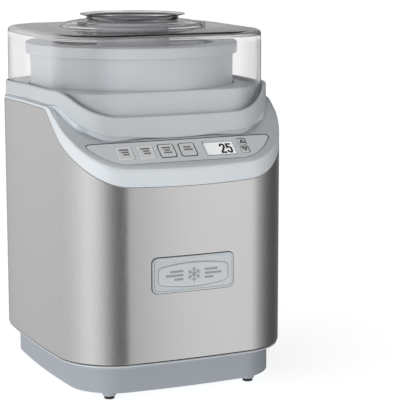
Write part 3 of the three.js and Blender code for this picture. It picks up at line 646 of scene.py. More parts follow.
# The clear plastic carries painted shade: a darker top, and darker walls edge on and at
# corners.
CLEAR = clear("clear_plastic", (1.0, 0.995, 1.0), (0.97, 0.955, 0.98), (0.05, 0.04, 0.06))
SCREEN = moulded("lcd_screen", (0.86, 0.88, 0.88), 0.3, mottle=0.01)
SCREEN_GLOW = 0.42
screen_shader = SCREEN.node_tree.nodes["Principled BSDF"]
screen_shader.inputs["Emission Color"].default_value = (1, 1, 1, 1)
screen_shader.inputs["Emission Strength"].default_value = SCREEN_GLOW
DIGIT = moulded("lcd_digits", (0.012, 0.012, 0.014), 0.3)

SLOT_MATERIALS = {
    "plinth_plastic": PLINTH, "silver_plastic": SILVER, "panel_plastic": FASCIA,
    "key_plastic": KEY, "brushed_steel": STEEL, "badge_metal": BADGE_METAL,
    "zinc_steel": ZINC, "rubber": RUBBER, "clear_plastic": CLEAR, "bowl_plastic": BOWL,
    "aluminium": ALUMINIUM, "white_plastic": WHITE, "dark_plastic": DARK,
    "gear_plastic": GEAR, "copper": COPPER, "bronze": BRONZE, "circuit_board": CIRCUIT,
    "coolant_gel": GEL,
}
# The CAD nodes that stay visible, or show through a gap, take their slot's material.
for entry in frame["record"]["subparts"]:
    node = frame["nodes"][entry["node"]]
    node.data.materials.clear()
    node.data.materials.append(SLOT_MATERIALS[entry["material_slot"]])
    node.data.shade_smooth()
    node.data.set_sharp_from_angle(angle=math.radians(30))


# ---- body, base and feet

top_edge = steel_top(body()[:, 1])
piece("steel_body", *skin([
    (at(body(STEEL_THICKNESS), STEEL_BOTTOM), 0),
    (at(body(0.25), STEEL_BOTTOM), 0.2),
    (at(body(), STEEL_BOTTOM + 0.3), 0.2),
    (at(body(), top_edge - 0.3), 0.2),
    (at(body(0.25), top_edge), 0.2),
    (at(body(STEEL_THICKNESS), top_edge), 0),
]), STEEL, "base", "brushed_steel", ["steel_wrap"])


def plinth(inset=0.0):
    return body(PLINTH_INSET + inset)


base = piece("plinth", *skin([
    (at(plinth(2.0), FOOT_HEIGHT), 0),
    (at(plinth(0), FOOT_HEIGHT), 1.0),
    (at(plinth(0), PLINTH_SHOULDER), 1.0),
    (at(plinth(-1.6), PLINTH_FLARE), 3.0),
    (at(body(1.6), PLINTH_FLARE + 0.8), 0.8),
    (at(body(1.6), PLINTH_TOP), 0.4),
    (at(body(3.2), PLINTH_TOP), 0),
    (at(body(3.2), STEEL_SEAT), 0),
    (at(body(5.2), STEEL_SEAT), 0),
    (at(body(5.2), 34), 0),
    (at(plinth(2.5), 26), 0),
    (at(plinth(2.5), FOOT_HEIGHT + PLINTH_FLOOR), 0),
], closed=False), PLINTH, "base", "plinth_plastic", ["base_pan"])

# The lip is in the lighter silver plastic: a painted highlight along its rounded edge.
piece("plinth_lip", *skin([
    (at(body(3.1), 30.8), 0), (at(body(1.5), 30.8), 0.4), (at(body(0.9), 31.4), 0.4),
    (at(body(0.9), 32.2), 0.5), (at(body(1.7), 32.7), 0.3), (at(body(3.1), 32.7), 0),
]), SILVER, "base", "plinth_plastic")
# A dark ring fills the gap under the steel: painted shadow in the gap.
piece("steel_gap_shade", *skin([
    (at(body(3.1), 32.75), 0), (at(body(1.5), 32.75), 0), (at(body(1.5), 33.85), 0),
    (at(body(3.1), 33.85), 0),
]), SEAL_AND_SHADE, "base", "rubber")

VENTS, VENT_PITCH, VENT_HALF_WIDTH, VENT_HALF_LENGTH = 4, 16, 1.6, 40
CUT_LOW, CUT_HIGH = 4, 9            # heights that bracket the plinth's floor
floor_cuts = []
for i in range(VENTS):
    y = AXIS_Y + (i - (VENTS - 1) / 2) * VENT_PITCH
    floor_cuts.append(box_points((-VENT_HALF_LENGTH, y - VENT_HALF_WIDTH, CUT_LOW),
                                 (VENT_HALF_LENGTH, y + VENT_HALF_WIDTH, CUT_HIGH)))
floor_cuts += [turned([(2.5, CUT_LOW, 0), (2.5, CUT_HIGH, 0)], x, y, 24, closed=False)
               for x, y in LEGS]


def on_gland(part, y):
    """A part turned about the vertical laid along Y, at the cord gland."""
    vertices, faces = part
    return np.stack([vertices[:, 0] + GLAND_X, y + vertices[:, 2],
                     GLAND_Z - vertices[:, 1]], 1), faces


gland_bore = turned([(5.4, -16, 0), (5.4, 16, 0)], 0, 0, 48, closed=False)
cut_with(base, floor_cuts + [on_gland(gland_bore, GLAND_REAR - 6)])

for end, sy in (("front", -1), ("rear", 1)):
    for side, sx in (("left", -1), ("right", 1)):
        x, y = sx * FOOT_X, sy * FOOT_Y
        piece(f"foot_collar_{end}_{side}", *turned([
            (2.8, GAP, 0), (FOOT_RADIUS - 0.6, GAP, 0.5), (FOOT_RADIUS, GAP + 1.2, 0.8),
            (FOOT_RADIUS + 0.5, FOOT_HEIGHT - 0.6, 0.6), (FOOT_RADIUS + 1.2, FOOT_HEIGHT, 0),
            (2.8, FOOT_HEIGHT, 0),
        ], x, y, 64), PLINTH, "base", "plinth_plastic")
        piece(f"foot_pad_{end}_{side}", *turned([
            (PAD_RADIUS - 0.5, -DATUM, 0), (PAD_RADIUS, -DATUM + 0.5, 0.4),
            (PAD_RADIUS, 0, 0.3), (2.2, 0, 0), (2.2, 8.2, 0),
        ], x, y, 64, closed=False), RUBBER, "base", "rubber", [f"foot_{end}_{side}"])

piece("cord_gland_bush", *on_gland(turned([
    (3.2, -12, 0), (4.9, -12, 0), (4.9, 0.5, 0), (8, 0.5, 0), (8, 2.4, 0.9),
    (5.6, 5.6, 1.4), (3.2, 5.6, 0.5),
], 0, 0, 64), GLAND_REAR), DARK, "base", "dark_plastic", ["cord_gland"])


# ---- upper housings

ring_edge = ring(0)
bottom_at = ring_bottom(ring_edge[:, 0], ring_edge[:, 1])
top_at = ring_top(ring_edge[:, 1])
trough_at = trough_underside(ring_edge[:, 0], ring_edge[:, 1])
hanging = 1 - smooth_step(bottom_at, TROUGH_UNDERSIDE - 6, TROUGH_UNDERSIDE)


def ring_inset(sides, front):
    """The ring's outline, set in further where the ring hangs over the sloped panel."""
    near, far = ring(sides), ring(front)
    return near + (far - near) * hanging[:, None]


brow = body(0.9)
cove = ring_inset(0.8, 5.5)
hole = ring_inset(4.5, 7)
under = bottom_at - GAP
reach = np.hypot(*(ring_edge - brow).T)
corner_share = smooth_step(np.abs(ring_edge[:, 0]), 30, 75)
lip_width = np.minimum(7, reach / 2) * (0.35 + 0.65 * corner_share) / reach
lip_dip = np.minimum(2.6, 0.35 * reach) * corner_share
dip_start = ring_edge + (brow - ring_edge) * lip_width[:, None]
ledge = np.minimum(panel_height(ring_edge[:, 1]), under) - lip_dip
housing = piece("silver_housing", *skin([
    (at(body(HOUSING_INNER), top_edge - HOUSING_SKIRT), 0),
    (at(body(STEEL_THICKNESS + 0.6), top_edge - HOUSING_SKIRT), 0),
    (at(body(STEEL_THICKNESS + 0.6), top_edge + GAP), 0),
    (at(body(0.1), top_edge + GAP), 0.25),
    (at(body(0.1), panel_height(brow[:, 1]) - 0.3), 4.5),
    (at(dip_start, panel_height(dip_start[:, 1])), 3.0),
    (at(ring_edge, ledge), 1.6),
    (at(cove, ledge - 0.1), 1.0),
    (at(cove, under), 0),
    (at(hole, under), 0),
    (at(hole, np.minimum(panel_height(hole[:, 1]), under) - 5.5), 0),
    (at(body(HOUSING_INNER), panel_height(body(HOUSING_INNER)[:, 1]) - 4.5), 0),
]), SILVER, "base", "silver_plastic", ["top_housing"])

well_edge = circle(WELL_RADIUS, pedestal())
piece("deck", *skin([
    (at(ring(2.6), bottom_at), 0),
    (at(ring(0), bottom_at), 0.8),
    (at(ring(0.2), top_at - 1.2), 1.2),
    (at(ring(1.4), top_at), 1.0),
    (at(ring(3.1), top_at - 0.2), 0.7),
    (at(ring(3.3), trough_at + TROUGH_THICKNESS), 0.6),
    (at(pedestal(0), trough_at + TROUGH_THICKNESS), 0.6),
    (at(pedestal(0.3), PEDESTAL_TOP), 1.4),
    (at(well_edge, PEDESTAL_TOP), 0.8),
    (at(well_edge, TROUGH_UNDERSIDE), 0),
    (at(circle(WELL_RADIUS + 2.6, pedestal()), TROUGH_UNDERSIDE), 0),
    (at(ring(2.9), trough_at), 0),
]), SILVER, "base", "silver_plastic", ["deck_ring"])

piece("well", *merged(turned([
    (10, 144, 0), (92, 144, 3), (98, 150, 3), (98, WELL_RIM - 2.6, 0), (100.5, WELL_RIM, 0),
    (WELL_RADIUS, WELL_RIM, 0.6), (WELL_RADIUS, 151, 3), (91, 146.5, 3), (10, 146.5, 0.5),
]), *[turned([(2.4, 8, 0), (6, 8, 0.4), (6, 144.5, 0), (2.4, 144.5, 0)], x, y, 32)
      for x, y in LEGS]), SILVER, "base", "silver_plastic", ["bowl_well"])


# ---- control panel

def bezier(p0, p1, p2, p3, count):
    t = np.linspace(0, 1, count, endpoint=False)[:, None]
    p0, p1, p2, p3 = (np.array(p, float) for p in (p0, p1, p2, p3))
    return ((1 - t) ** 3 * p0 + 3 * (1 - t) ** 2 * t * p1
            + 3 * (1 - t) * t * t * p2 + t ** 3 * p3)


def quadratic(p0, p1, p2, count):
    p0, p1, p2 = (np.array(p, float) for p in (p0, p1, p2))
    return bezier(p0, p0 + (p1 - p0) * 2 / 3, p2 + (p1 - p2) * 2 / 3, p2, count)


def fascia_outline(grow=0.0):
    """The crescent, counter-clockwise, in x and distance up the slope."""
    centre, foot = -1.2, 56
    top, bottom, tip = 31.8 + grow, 5.7 - grow, 87.8 + grow
    left = np.concatenate([
        quadratic((-82, top), (-tip - 1.5, top), (-tip, 28), 8),
        bezier((-tip, 28), (-83 - grow, 20), (-70, bottom + 1), (-foot, bottom), 20),
        np.array([(-foot, bottom)]),
    ])
    right = left[::-1] * (-1, 1)
    middle = np.linspace(-foot, foot, 24, endpoint=False)[1:]
    top_line = np.linspace(82, -82, 30, endpoint=False)[1:]
    shape = np.concatenate([left, np.column_stack([middle, np.full(len(middle), bottom)]),
                            right, np.column_stack([top_line, np.full(len(top_line), top)])])
    return shape + (centre, 0)


def panel_prism(flat, bottom, top):
    count = len(flat)
    vertices = np.concatenate([at(flat, bottom), at(flat, top)])
    faces = [(j, (j + 1) % count, count + (j + 1) % count, count + j) for j in range(count)]
    faces += [tuple(reversed(range(count))), tuple(range(count, 2 * count))]
    return laid(on_panel, (vertices, faces))


# name, x, up the slope, width, height, corner radius
KEYS = [
    ("mode_key_1", -56.4, 19.3, 15, 16.2, 1.8), ("mode_key_2", -36.4, 19.3, 15, 16.2, 1.8),
    ("mode_key_3", -16.4, 19.3, 14.2, 14.6, 1.8), ("mode_key_4", 3.6, 19.3, 14.2, 14.6, 1.8),
    ("time_up_key", 58.4, 24.6, 7.4, 7.4, 1.2), ("time_down_key", 58.4, 15, 7.4, 7.4, 1.2),
]

cut_with(housing, [panel_prism(fascia_outline(SEAL_WIDTH + 0.05), -9, 9)])
# The upright band under the panel takes a lighter, slightly glossier copy of the silver
# plastic: painted light, for the brighter light the band catches.
housing.data.materials.append(LIT_BAND)
for polygon in housing.data.polygons:
    x, y, z = polygon.center / MM
    outward = polygon.normal.x * x + polygon.normal.y * y > 0
    if outward and polygon.normal.z < 0.45 and z < panel_height(np.float64(y)) + DATUM + 0.5:
        polygon.material_index = 1
piece("fascia_seal", *laid(on_panel, skin([
    (at(fascia_outline(0.02), FASCIA_BACK), 0),
    (at(fascia_outline(SEAL_WIDTH), FASCIA_BACK), 0),
    (at(fascia_outline(SEAL_WIDTH), -0.05), 0.2), (at(fascia_outline(0.02), -0.05), 0.2),
])), SEAL_AND_SHADE, "base", "rubber")
fascia = piece("fascia", *slab(lambda inset: fascia_outline(-inset), FASCIA_BACK, FASCIA_TOP,
                               FASCIA_EDGE), FASCIA, "base", "panel_plastic",
               ["control_fascia"])
fascia.data.vertices.foreach_set("co", (
    (on_panel(np.array([v.co[:] for v in fascia.data.vertices]) / MM - (0, 0, DATUM))
     + (0, 0, DATUM)) * MM).ravel())
openings = [panel_prism(rounded_rectangle(w + 0.7, h + 0.7, r + 0.3, x, up), -10, 10)
            for _, x, up, w, h, r in KEYS]
dx, dup, dwidth, dheight = DISPLAY
openings.append(panel_prism(rounded_rectangle(dwidth + 0.5, dheight + 0.5, 1.4, dx, dup),
                            -10, 10))
cut_with(fascia, openings)


def key_cap(x, up, width, height, radius, bottom, top, crown=0.25, edge=0.6):
    """A key with a rounded edge and a slightly crowned top."""
    def shape(inset):
        return inset_rectangle(inset, width, height, radius, x, up)

    profile = [(at(shape(0), bottom), 0)]
    for i in range(5):
        angle = i / 4 * math.pi / 2
        profile.append((at(shape(edge * (1 - math.cos(angle))),
                           top - crown - edge * (1 - math.sin(angle))), 0))
    for share in (0.3, 0.6, 0.85):
        inset = edge + (min(width, height) / 2 - edge - 0.4) * share
        profile.append((at(shape(inset), top - crown * (1 - share) ** 2), 0))
    return laid(on_panel, skin(profile, closed=False))


def bar(x, up, width, height, bottom, top):
    flat = rounded_rectangle(width, height, min(width, height) * 0.3, x, up, 2)
    return laid(on_panel, skin([(at(flat, bottom), 0), (at(flat, top), 0)], closed=False))


def arrow(x, up, sign):
    """The outline of a triangle that points up the slope, or down it when sign is -1."""
    outer = np.array([(x - 2.9, up - sign * 2.2), (x + 2.9, up - sign * 2.2),
                      (x, up + sign * 2.5)])
    if sign < 0:
        outer = outer[::-1]
    inner = outer.mean(0) + (outer - outer.mean(0)) * 0.42
    return laid(on_panel, skin([(at(outer, 0.0), 0), (at(outer, 0.42), 0),
                                (at(inner, 0.42), 0), (at(inner, 0.0), 0)]))


def panel_ring(*ring_args):
    return laid(on_panel, frame_ring(*ring_args))


# Rows of plain bars stand in for the keys' lettering: x, up, length.
MARKS = {
    "mode_key_1": [(-0.4, 3.5, 9.0), (0, 0.7, 7.0), (0.6, -2.1, 6.0)],
    "mode_key_2": [(0, 3.5, 8.6), (0, 0.7, 6.0), (0.5, -2.1, 6.4)],
    "mode_key_3": [(-0.3, 3.4, 8.0), (0, 0.5, 5.4), (0.2, -2.5, 7.8)],
    "mode_key_4": [(-0.2, 2.6, 7.0), (0.2, -0.4, 8.4)],
}
BAR_WIDTH = 1.7
KEY_TOP = 0.35
PRINT = 0.02                    # how far marks and rims stand above the key
for name, x, up, width, height, radius in KEYS:
    wide = name in ("mode_key_1", "mode_key_2")
    flange = 1.2 if name in MARKS else 0.8
    piece(name + "_cap", *merged(
        key_cap(x, up, width, height, radius, FASCIA_BACK - 1.6, KEY_TOP),
        panel_prism(rounded_rectangle(width + 2 * flange, height + 2 * flange, radius, x, up),
                    FASCIA_BACK - 1.7, FASCIA_BACK - 0.35)),
        KEY, name, "key_plastic", [name])
    if name in MARKS:
        # A lighter ring at the key's edge: a painted highlight on its rounded edge.
        outer, inner = (inset_rectangle(inset, width, height, radius, x, up, 0.4)
                        for inset in (0.35, 2.0 if wide else 1.1))
        piece(name + "_rim", *panel_ring(outer, inner, -0.1, KEY_TOP + PRINT),
              KEY_EDGE_HIGHLIGHT, name, "key_plastic")
        bars = [bar(x + along, up + across, length, BAR_WIDTH, 0.0, KEY_TOP + PRINT)
                for along, across, length in MARKS[name]]
        piece(name + "_marks", *merged(*bars), MARK, name, "key_plastic")
    else:
        sign = 1 if name == "time_up_key" else -1
        piece(name + "_marks", *arrow(x, up, sign), SEAL_AND_SHADE, name, "key_plastic", sharp=20)
    if not wide:
        # A dark reveal round the opening, with painted shadow: it is heavier below and on the
        # left of a mode key, and above and on the right of a time key.
        inner = rounded_rectangle(width + 0.24, height + 0.24, radius + 0.1, x, up)
        if name in MARKS:
            outer = rounded_rectangle(width + 1.7, height + 1.8, radius + 0.6,
                                      x - 0.1, up - 0.2)
        else:
            outer = rounded_rectangle(width + 1.0, height + 0.9, radius + 0.3,
                                      x + 0.15, up + 0.1)
        piece(name + "_reveal", *panel_ring(outer, inner, -0.4, 0.0), SEAL_AND_SHADE, "base", "rubber")

window = rounded_rectangle(dwidth, dheight, 1.2, dx, dup)
lcd_x, lcd_up, lcd_width, lcd_height = LCD
lcd = rounded_rectangle(lcd_width, lcd_height, 0.6, lcd_x, lcd_up)
piece("display_lens", *panel_prism(window, -1.6, -0.05), CLEAR, "base", "clear_plastic",
      ["display_window"])
bezel_edge = rounded_rectangle(dwidth - 0.1, dheight - 0.1, 1.2, dx, dup)
piece("display_bezel", *panel_ring(bezel_edge, lcd, -2.4, -1.7), BEZEL, "base",
      "panel_plastic")
piece("lcd_panel", *panel_prism(lcd, -6.4, -2.0), SCREEN, "base", "white_plastic",
      ["display_module"])
# Strokes of the two digits, about the middle of each.
TWO = [(-1.8, 2.4), (-1.8, 3.9), (-0.9, 4.9), (0.8, 4.9), (1.8, 3.9), (1.8, 2.0), (1.0, 0.2),
       (-1.7, -4.0), (-1.7, -4.9), (2.7, -4.9)]
FIVE = [(2.5, 4.9), (-1.7, 4.9), (-1.7, 0.9), (-0.6, 1.5), (0.8, 1.3), (1.8, 0.2), (1.8, -3.6),
        (0.9, -4.9), (-0.8, -4.9), (-1.8, -3.9), (-1.8, -2.5)]
DIGIT_PLACES = [(TWO, 38.0), (FIVE, 44.3)]
DIGIT_UP, DIGIT_STROKE = 18.9, 1.85
piece("lcd_digits", *laid(on_panel, merged(*[
    ribbon(np.array(path) + (place, DIGIT_UP), DIGIT_STROKE, -2.0, -1.9)
    for path, place in DIGIT_PLACES])), DIGIT, "base", "dark_plastic", sharp=10)


# ---- badge

bx, bz, bwidth, bheight, bradius = BADGE


def plate_shape(inset):
    return inset_rectangle(inset, bwidth, bheight, bradius, bx, bz, 0.5, steps=8,
                           across=24, along=6)


def barrel(inset, half_width=33.7, half_height=7.1, swell=3.4):
    """The inner panel's outline: its long edges swell outwards in the middle."""
    flat = rounded_rectangle(2 * (half_width - inset), 2 * max(half_height - inset, 0.02),
                             max(min(3 - inset, half_height - inset), 0.01), 0, 0, 5,
                             across=24, along=4)
    lift = swell * (1 - (flat[:, 0] / half_width) ** 2) * flat[:, 1] / half_height
    return flat + np.stack([np.full(len(flat), bx), BADGE_MIDDLE + lift], 1)


piece("badge_frame", *laid(on_front, skin([
    (at(plate_shape(0), 0.3), 0), (at(plate_shape(0), 1.3), 0.3),
    (at(plate_shape(0.5), 1.7), 0.3), (at(plate_shape(1.3), 1.7), 0.4),
    (at(plate_shape(2.3), 0.9), 0.4), (at(plate_shape(11), 0.9), 0),
    (at(plate_shape(11), 0.3), 0),
])), BADGE_METAL, "base", "badge_metal", ["badge_plate"], sharp=50)
piece("badge_seal", *laid(on_front, frame_ring(
    plate_shape(-0.55), plate_shape(0.05), 0.05, 0.5)), SEAL_AND_SHADE, "base", "rubber")

badge_face = piece("badge_face", *laid(on_front, skin([
    (at(barrel(0), 0.6), 0), (at(barrel(0), 1.2), 0.2), (at(barrel(0.9), 1.5), 0.3),
    (at(barrel(3.5), 1.5), 0), (at(barrel(7.08), 1.5), 0),
], closed=False, last_cap=False)), BADGE_FACE, "base", "badge_metal", sharp=50)
# The innermost ring has closed to a line: its doubled points are joined.
weld = bmesh.new()
weld.from_mesh(badge_face.data)
bmesh.ops.remove_doubles(weld, verts=weld.verts, dist=0.00006)
weld.to_mesh(badge_face.data)
weld.free()
piece("badge_groove", *laid(on_front, frame_ring(barrel(-0.7), barrel(0.1), 0.85, 1.0)),
      BADGE_RELIEF, "base", "badge_metal")



def unit(angle):
    return np.array([math.cos(angle), math.sin(angle)])


# Generic relief in place of the real mark: a snowflake with three bars on each side.
ARM_LENGTH, ARM_WIDTH = 6.6, 1.1
BRANCH_START, BRANCH_LENGTH, BRANCH_WIDTH, BRANCH_ANGLE = 3.6, 2.3, 0.8, math.radians(55)
BARS = [(3.6, 10.5, 23), (0, 10.5, 27), (-3.6, 10.5, 19)]     # height, start, end
RELIEF_BAR_WIDTH = 1.9
relief = []
for arm in range(6):
    angle = math.radians(60 * arm + 30)
    tip = unit(angle)
    relief.append(([np.zeros(2), tip * ARM_LENGTH], ARM_WIDTH))
    for hand in (-1, 1):
        branch = unit(angle + hand * BRANCH_ANGLE)
        relief.append(([tip * BRANCH_START, tip * BRANCH_START + BRANCH_LENGTH * branch],
                       BRANCH_WIDTH))
for hand in (-1, 1):
    for z, start, end in BARS:
        relief.append(([(hand * start, z), (hand * (start + end) / 2, z), (hand * end, z)],
                       RELIEF_BAR_WIDTH))
piece("badge_relief", *laid(on_front, merged(*[
    ribbon(np.array(path) + (bx, BADGE_MIDDLE), width, 1.45, 1.7)
    for path, width in relief])), BADGE_RELIEF, "base", "badge_metal", sharp=15)


# ---- bowl

piece("bowl_shell", *turned([
    (30, 155, 0), (84.8, 155, 4), (90.8, 163, 6), (BOWL_RADIUS - 2.2, 297.9, 0),
    (BOWL_RADIUS, 297.9, 0), (92.8, 162, 8), (86, BOWL_BOTTOM, 5), (30, BOWL_BOTTOM, 0),
][::-1]), BOWL, "bowl", "bowl_plastic", ["bowl_outer_shell"])
piece("bowl_rim", *turned([
    (90, BOWL_RIM_BOTTOM, 0), (BOWL_RIM_RADIUS, BOWL_RIM_BOTTOM, 0.7),
    (BOWL_RIM_RADIUS, BOWL_RIM_TOP, 1.6), (78.2, BOWL_RIM_TOP, 1.2), (77.6, 305.9, 0),
    (90, 305.9, 0),
]), BOWL, "bowl", "bowl_plastic", ["bowl_rim_ring"])
piece("liner", *turned([
    (0.01, 170.4, 0), (70.5, 170.4, 5), (77, 178, 5), (78.6, 305.5, 0),
    (LINER_RADIUS, 305.5, 0), (75.5, 178.5, 6), (69.8, 172, 6), (0.01, 172, 0),
], closed=False, rounding=6), ALUMINIUM, "bowl", "aluminium", ["bowl_liner"])


# ---- paddle and turntable

def blade(half_thickness, half_width, bottom, top, side, angle, x):
    """An upright bar of the paddle, turned by an angle and standing at x on one side."""
    def flat(inset):
        return inset_rectangle(inset, 2 * half_thickness, 2 * half_width,
                               half_thickness - 0.05)

    return turned_about(prism(flat, bottom, top, 0.7), side * angle, side * x)


def crossbar(half_length, half_width, bottom, top):
    """A rounded bar lying along X, its section lofted from end to end."""
    stations = []
    for share, shrink in ((-1, 1.2), (-0.985, 0.3), (-0.97, 0), (0.97, 0), (0.985, 0.3),
                          (1, 1.2)):
        section = rounded_rectangle(2 * (half_width - shrink), top - bottom - 2 * shrink,
                                    2.0 - shrink)
        stations.append((np.stack([np.full(len(section), share * half_length),
                                   section[:, 0] + AXIS_Y,
                                   section[:, 1] + (bottom + top) / 2], 1), 0))
    return skin(stations, closed=False)


paddle_parts = [crossbar(68, 5, 174.6, 182), crossbar(67, 5.5, 298, 305)]
for side in (-1, 1):
    paddle_parts.append(blade(2.5, 8, 177, 305, side, 25, 66.5))
    paddle_parts.append(blade(3, 3.1, 180, 300, side, -30, 32))
paddle_parts.append(turned([
    (32.4, 303, 0), (34, 303, 0.3), (34, 323.6, 0.4), (32.4, 323.6, 0.4)], steps=96))
piece("paddle", *merged(*paddle_parts), PADDLE, "paddle", "white_plastic", ["mixing_paddle"])


def hexagon(radius):
    return np.array([radius * unit(math.radians(60 * i + 30)) + (0, AXIS_Y)
                     for i in range(6)])


piece("turntable_disc", *merged(turned([
    (5.35, 147, 0), (5.35, 140.4, 0.2), (8.8, 140.4, 0.5), (8.8, 149.4, 1.2), (46, 149.4, 0.6),
    (46, 151.7, 0.8), (24, 151.7, 0.3), (24, 150, 0), (5.35, 150, 0)]), skin([
        (at(hexagon(24.8), 150.6), 0), (at(hexagon(24.8), 155.8), 0),
        (at(hexagon(24.2), 156.4), 0)], closed=False)),
    WHITE, "turntable", "white_plastic", ["turntable"])


# ---- lid and cap

def dome(radius):
    return circle(radius, lid())


lid_foot = trough_at + TROUGH_THICKNESS + 1
piece("clear_lid", *skin([
    (at(lid(0), lid_foot), 0.4),
    (at(lid(0.2), LID_TOP), 5.0),
    (at(dome(DOME_RADIUS + 0.5), 322.1), 1.2),
    (at(dome(DOME_RADIUS - 3.5), 325.6), 1.6),
    (at(dome(53), 327.7), 4.0),
    (at(dome(SPOUT_RADIUS), 327.8), 0.3),
    (at(dome(SPOUT_RADIUS), 327.8 - LID_THICKNESS), 0),
    (at(dome(52.6), 327.7 - LID_THICKNESS), 4.0),
    (at(dome(DOME_RADIUS - 5.0), 325.3 - LID_THICKNESS), 1.6),
    (at(dome(DOME_RADIUS - 1.4), 322 - LID_THICKNESS), 1.2),
    (at(lid(LID_THICKNESS + 0.2), LID_TOP - LID_THICKNESS), 3.4),
    (at(lid(LID_THICKNESS), lid_foot), 0.4),
], steps=6), CLEAR, "lid", "clear_plastic", ["lid"])

# side, distance from the axis, bearing in degrees, bottom, top
LUGS = [("left", 57, 195, 323, 328), ("right", 65.5, 332, 320.5, 325.6)]
for side, radius, angle, low, top in LUGS:
    lug = prism(lambda inset: inset_rectangle(inset, 6, 11, 1.5, radius), low, top)
    piece(f"lid_lug_{side}", *turned_about(lug, angle), CLEAR, "lid", "clear_plastic")

piece("cap", *turned([
    (0.01, 326.8, 0), (34.8, 326.8, 0.3), (34.8, 324.4, 0.2), (37.2, 324.4, 0.4),
    (37.2, 328.3, 0.3), (42.9, 328.3, 0.5), (43.3, 331.5, 0.8), (CAP_RADIUS, 333.3, 0.3),
    (49.1, CAP_TOP, 0.3), (43, 332.6, 3.0), (36, 328.7, 1.6), (0.01, 328.7, 0),
], closed=False), CLEAR, "spout_cap", "clear_plastic", ["spout_cap"])


# ---- camera and lights

FLOOR_HALF = 14.0               # metres
FLOOR_GLOW = 0.7
floor_mesh = bpy.data.meshes.new("floor")
floor_mesh.from_pydata([(sx * FLOOR_HALF, sy * FLOOR_HALF, 0)
                        for sx, sy in ((-1, -1), (1, -1), (1, 1), (-1, 1))],
                       [], [(0, 1, 2, 3)])
floor = linked("floor", floor_mesh)
floor_white, _, floor_shader = new_material("floor_white")
floor_shader.inputs["Base Color"].default_value = (0.86, 0.86, 0.86, 1)
floor_shader.inputs["Roughness"].default_value = 0.8
floor_shader.inputs["Emission Color"].default_value = (1, 1, 1, 1)
floor_shader.inputs["Emission Strength"].default_value = FLOOR_GLOW
floor_mesh.materials.append(floor_white)
floor.visible_glossy = floor.visible_diffuse = False
floor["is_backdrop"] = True

# The camera, as solved from the photo.
YAW, PITCH = math.radians(24.7425), math.radians(10.104)
CAMERA_AT = (-0.5860, -1.4264, 0.4277)
FOCAL_PIXELS, IMAGE_PIXELS, SENSOR_WIDTH = 1648.36, 416, 36
back = Vector((-math.sin(YAW) * math.cos(PITCH), -math.cos(YAW) * math.cos(PITCH),
               math.sin(PITCH)))
right = Vector((math.cos(YAW), -math.sin(YAW), 0))
up = back.cross(right)
camera_data = bpy.data.cameras.new("camera")
camera = linked("camera", camera_data)
camera.matrix_world = Matrix((
    *((right[i], up[i], back[i], CAMERA_AT[i]) for i in range(3)), (0, 0, 0, 1)))
camera_data.sensor_width = SENSOR_WIDTH
camera_data.lens = SENSOR_WIDTH * FOCAL_PIXELS / IMAGE_PIXELS
camera_data.clip_start, camera_data.clip_end = 0.05, 60
bpy.context.scene.camera = camera


def area_light(name, place, target, size, power):
    data = bpy.data.lights.new(name, "AREA")
    data.shape, data.size, data.size_y = "RECTANGLE", *size
    data.energy = power
    light = linked(name, data)
    light.location = place
    light.rotation_euler = (Vector(target) - Vector(place)).to_track_quat("-Z", "Y").to_euler()
    return light


# Brightness of the studio against the direction in degrees from the front towards the
# left: a softbox front right, a wide one on the left, and dark gaps between them.
STUDIO = [
    (-180, 0.45), (-165, 0.40), (-145, 0.28), (-130, 0.17), (-110, 0.11), (-92, 0.13),
    (-80, 0.20), (-68, 0.33), (-55, 0.55), (-42, 0.88), (-32, 1.05), (-22, 1.02),
    (-16, 0.80), (-10, 0.38), (-2, 0.22), (8, 0.20), (20, 0.28), (32, 0.50), (44, 0.80),
    (56, 1.02), (70, 1.12), (84, 0.98), (100, 0.86), (120, 0.80), (145, 0.76),
    (165, 0.74), (175, 0.55), (180, 0.45),
]
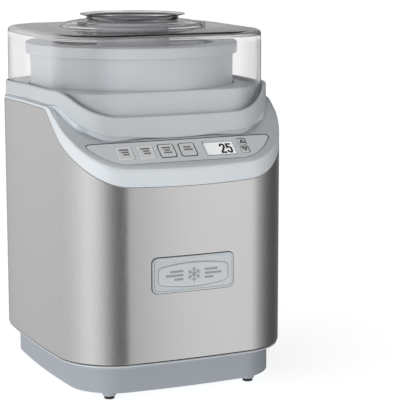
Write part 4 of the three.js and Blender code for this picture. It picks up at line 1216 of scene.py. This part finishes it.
# Brightness against the height of the direction, from straight down to overhead.
HEIGHTS = [(-1.0, 1.4), (-0.6, 1.3), (-0.34, 0.84), (-0.08, 1.06), (0.25, 1.06), (0.6, 0.7),
           (1.0, 0.5)]
HEIGHT_PEAK = 1.4
STUDIO_PEAK = 1.25
world = bpy.data.worlds.new("studio")
bpy.context.scene.world = world
world.use_nodes = True
sky = world.node_tree


def ramp(tree, value, stops, peak):
    node = tree.nodes.new("ShaderNodeValToRGB")
    elements = node.color_ramp.elements
    while len(elements) > 1:
        elements.remove(elements[-1])
    for i, (place, level) in enumerate(stops):
        element = elements[0] if i == 0 else elements.new(place)
        element.position = place
        element.color = (level / peak, level / peak, level / peak, 1)
    tree.links.new(value, node.inputs["Fac"])
    return node.outputs["Color"]


direction = sky.nodes.new("ShaderNodeTexCoord").outputs["Generated"]
split = sky.nodes.new("ShaderNodeSeparateXYZ")
sky.links.new(direction, split.inputs["Vector"])
bearing = math_node(sky, "ARCTAN2", math_node(sky, "MULTIPLY", split.outputs["X"], -1.0),
                    math_node(sky, "MULTIPLY", split.outputs["Y"], -1.0))
turn = math_node(sky, "MULTIPLY_ADD", bearing, 1 / (2 * math.pi), 0.5)
round_studio = ramp(sky, turn, [(d / 360 + 0.5, v) for d, v in STUDIO], STUDIO_PEAK)
height = math_node(sky, "MULTIPLY_ADD", split.outputs["Z"], 0.5, 0.5)
overhead = ramp(sky, height, [((h + 1) / 2, v) for h, v in HEIGHTS], HEIGHT_PEAK)
sky.links.new(color_mix(sky, 1.0, round_studio, overhead, "MULTIPLY"),
              sky.nodes["Background"].inputs["Color"])
sky.nodes["Background"].inputs["Strength"].default_value = STUDIO_PEAK * HEIGHT_PEAK

# Low, soft light from the front left, which leaves no highlight on steel or clear plastic.
fill = area_light("front_fill", (-1.15, -1.35, 0.12), (0, 0, 0.2), (1.3, 0.5), 9)
fill.visible_glossy = fill.visible_transmission = False

# Large faces keep their own normals, so that flat walls stay optically flat.
for obj in PIECES:
    normals = obj.modifiers.new("normals", "WEIGHTED_NORMAL")
    normals.keep_sharp = True

scene = bpy.context.scene
scene.view_settings.view_transform = "Standard"
scene.view_settings.look = "None"

low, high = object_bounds()
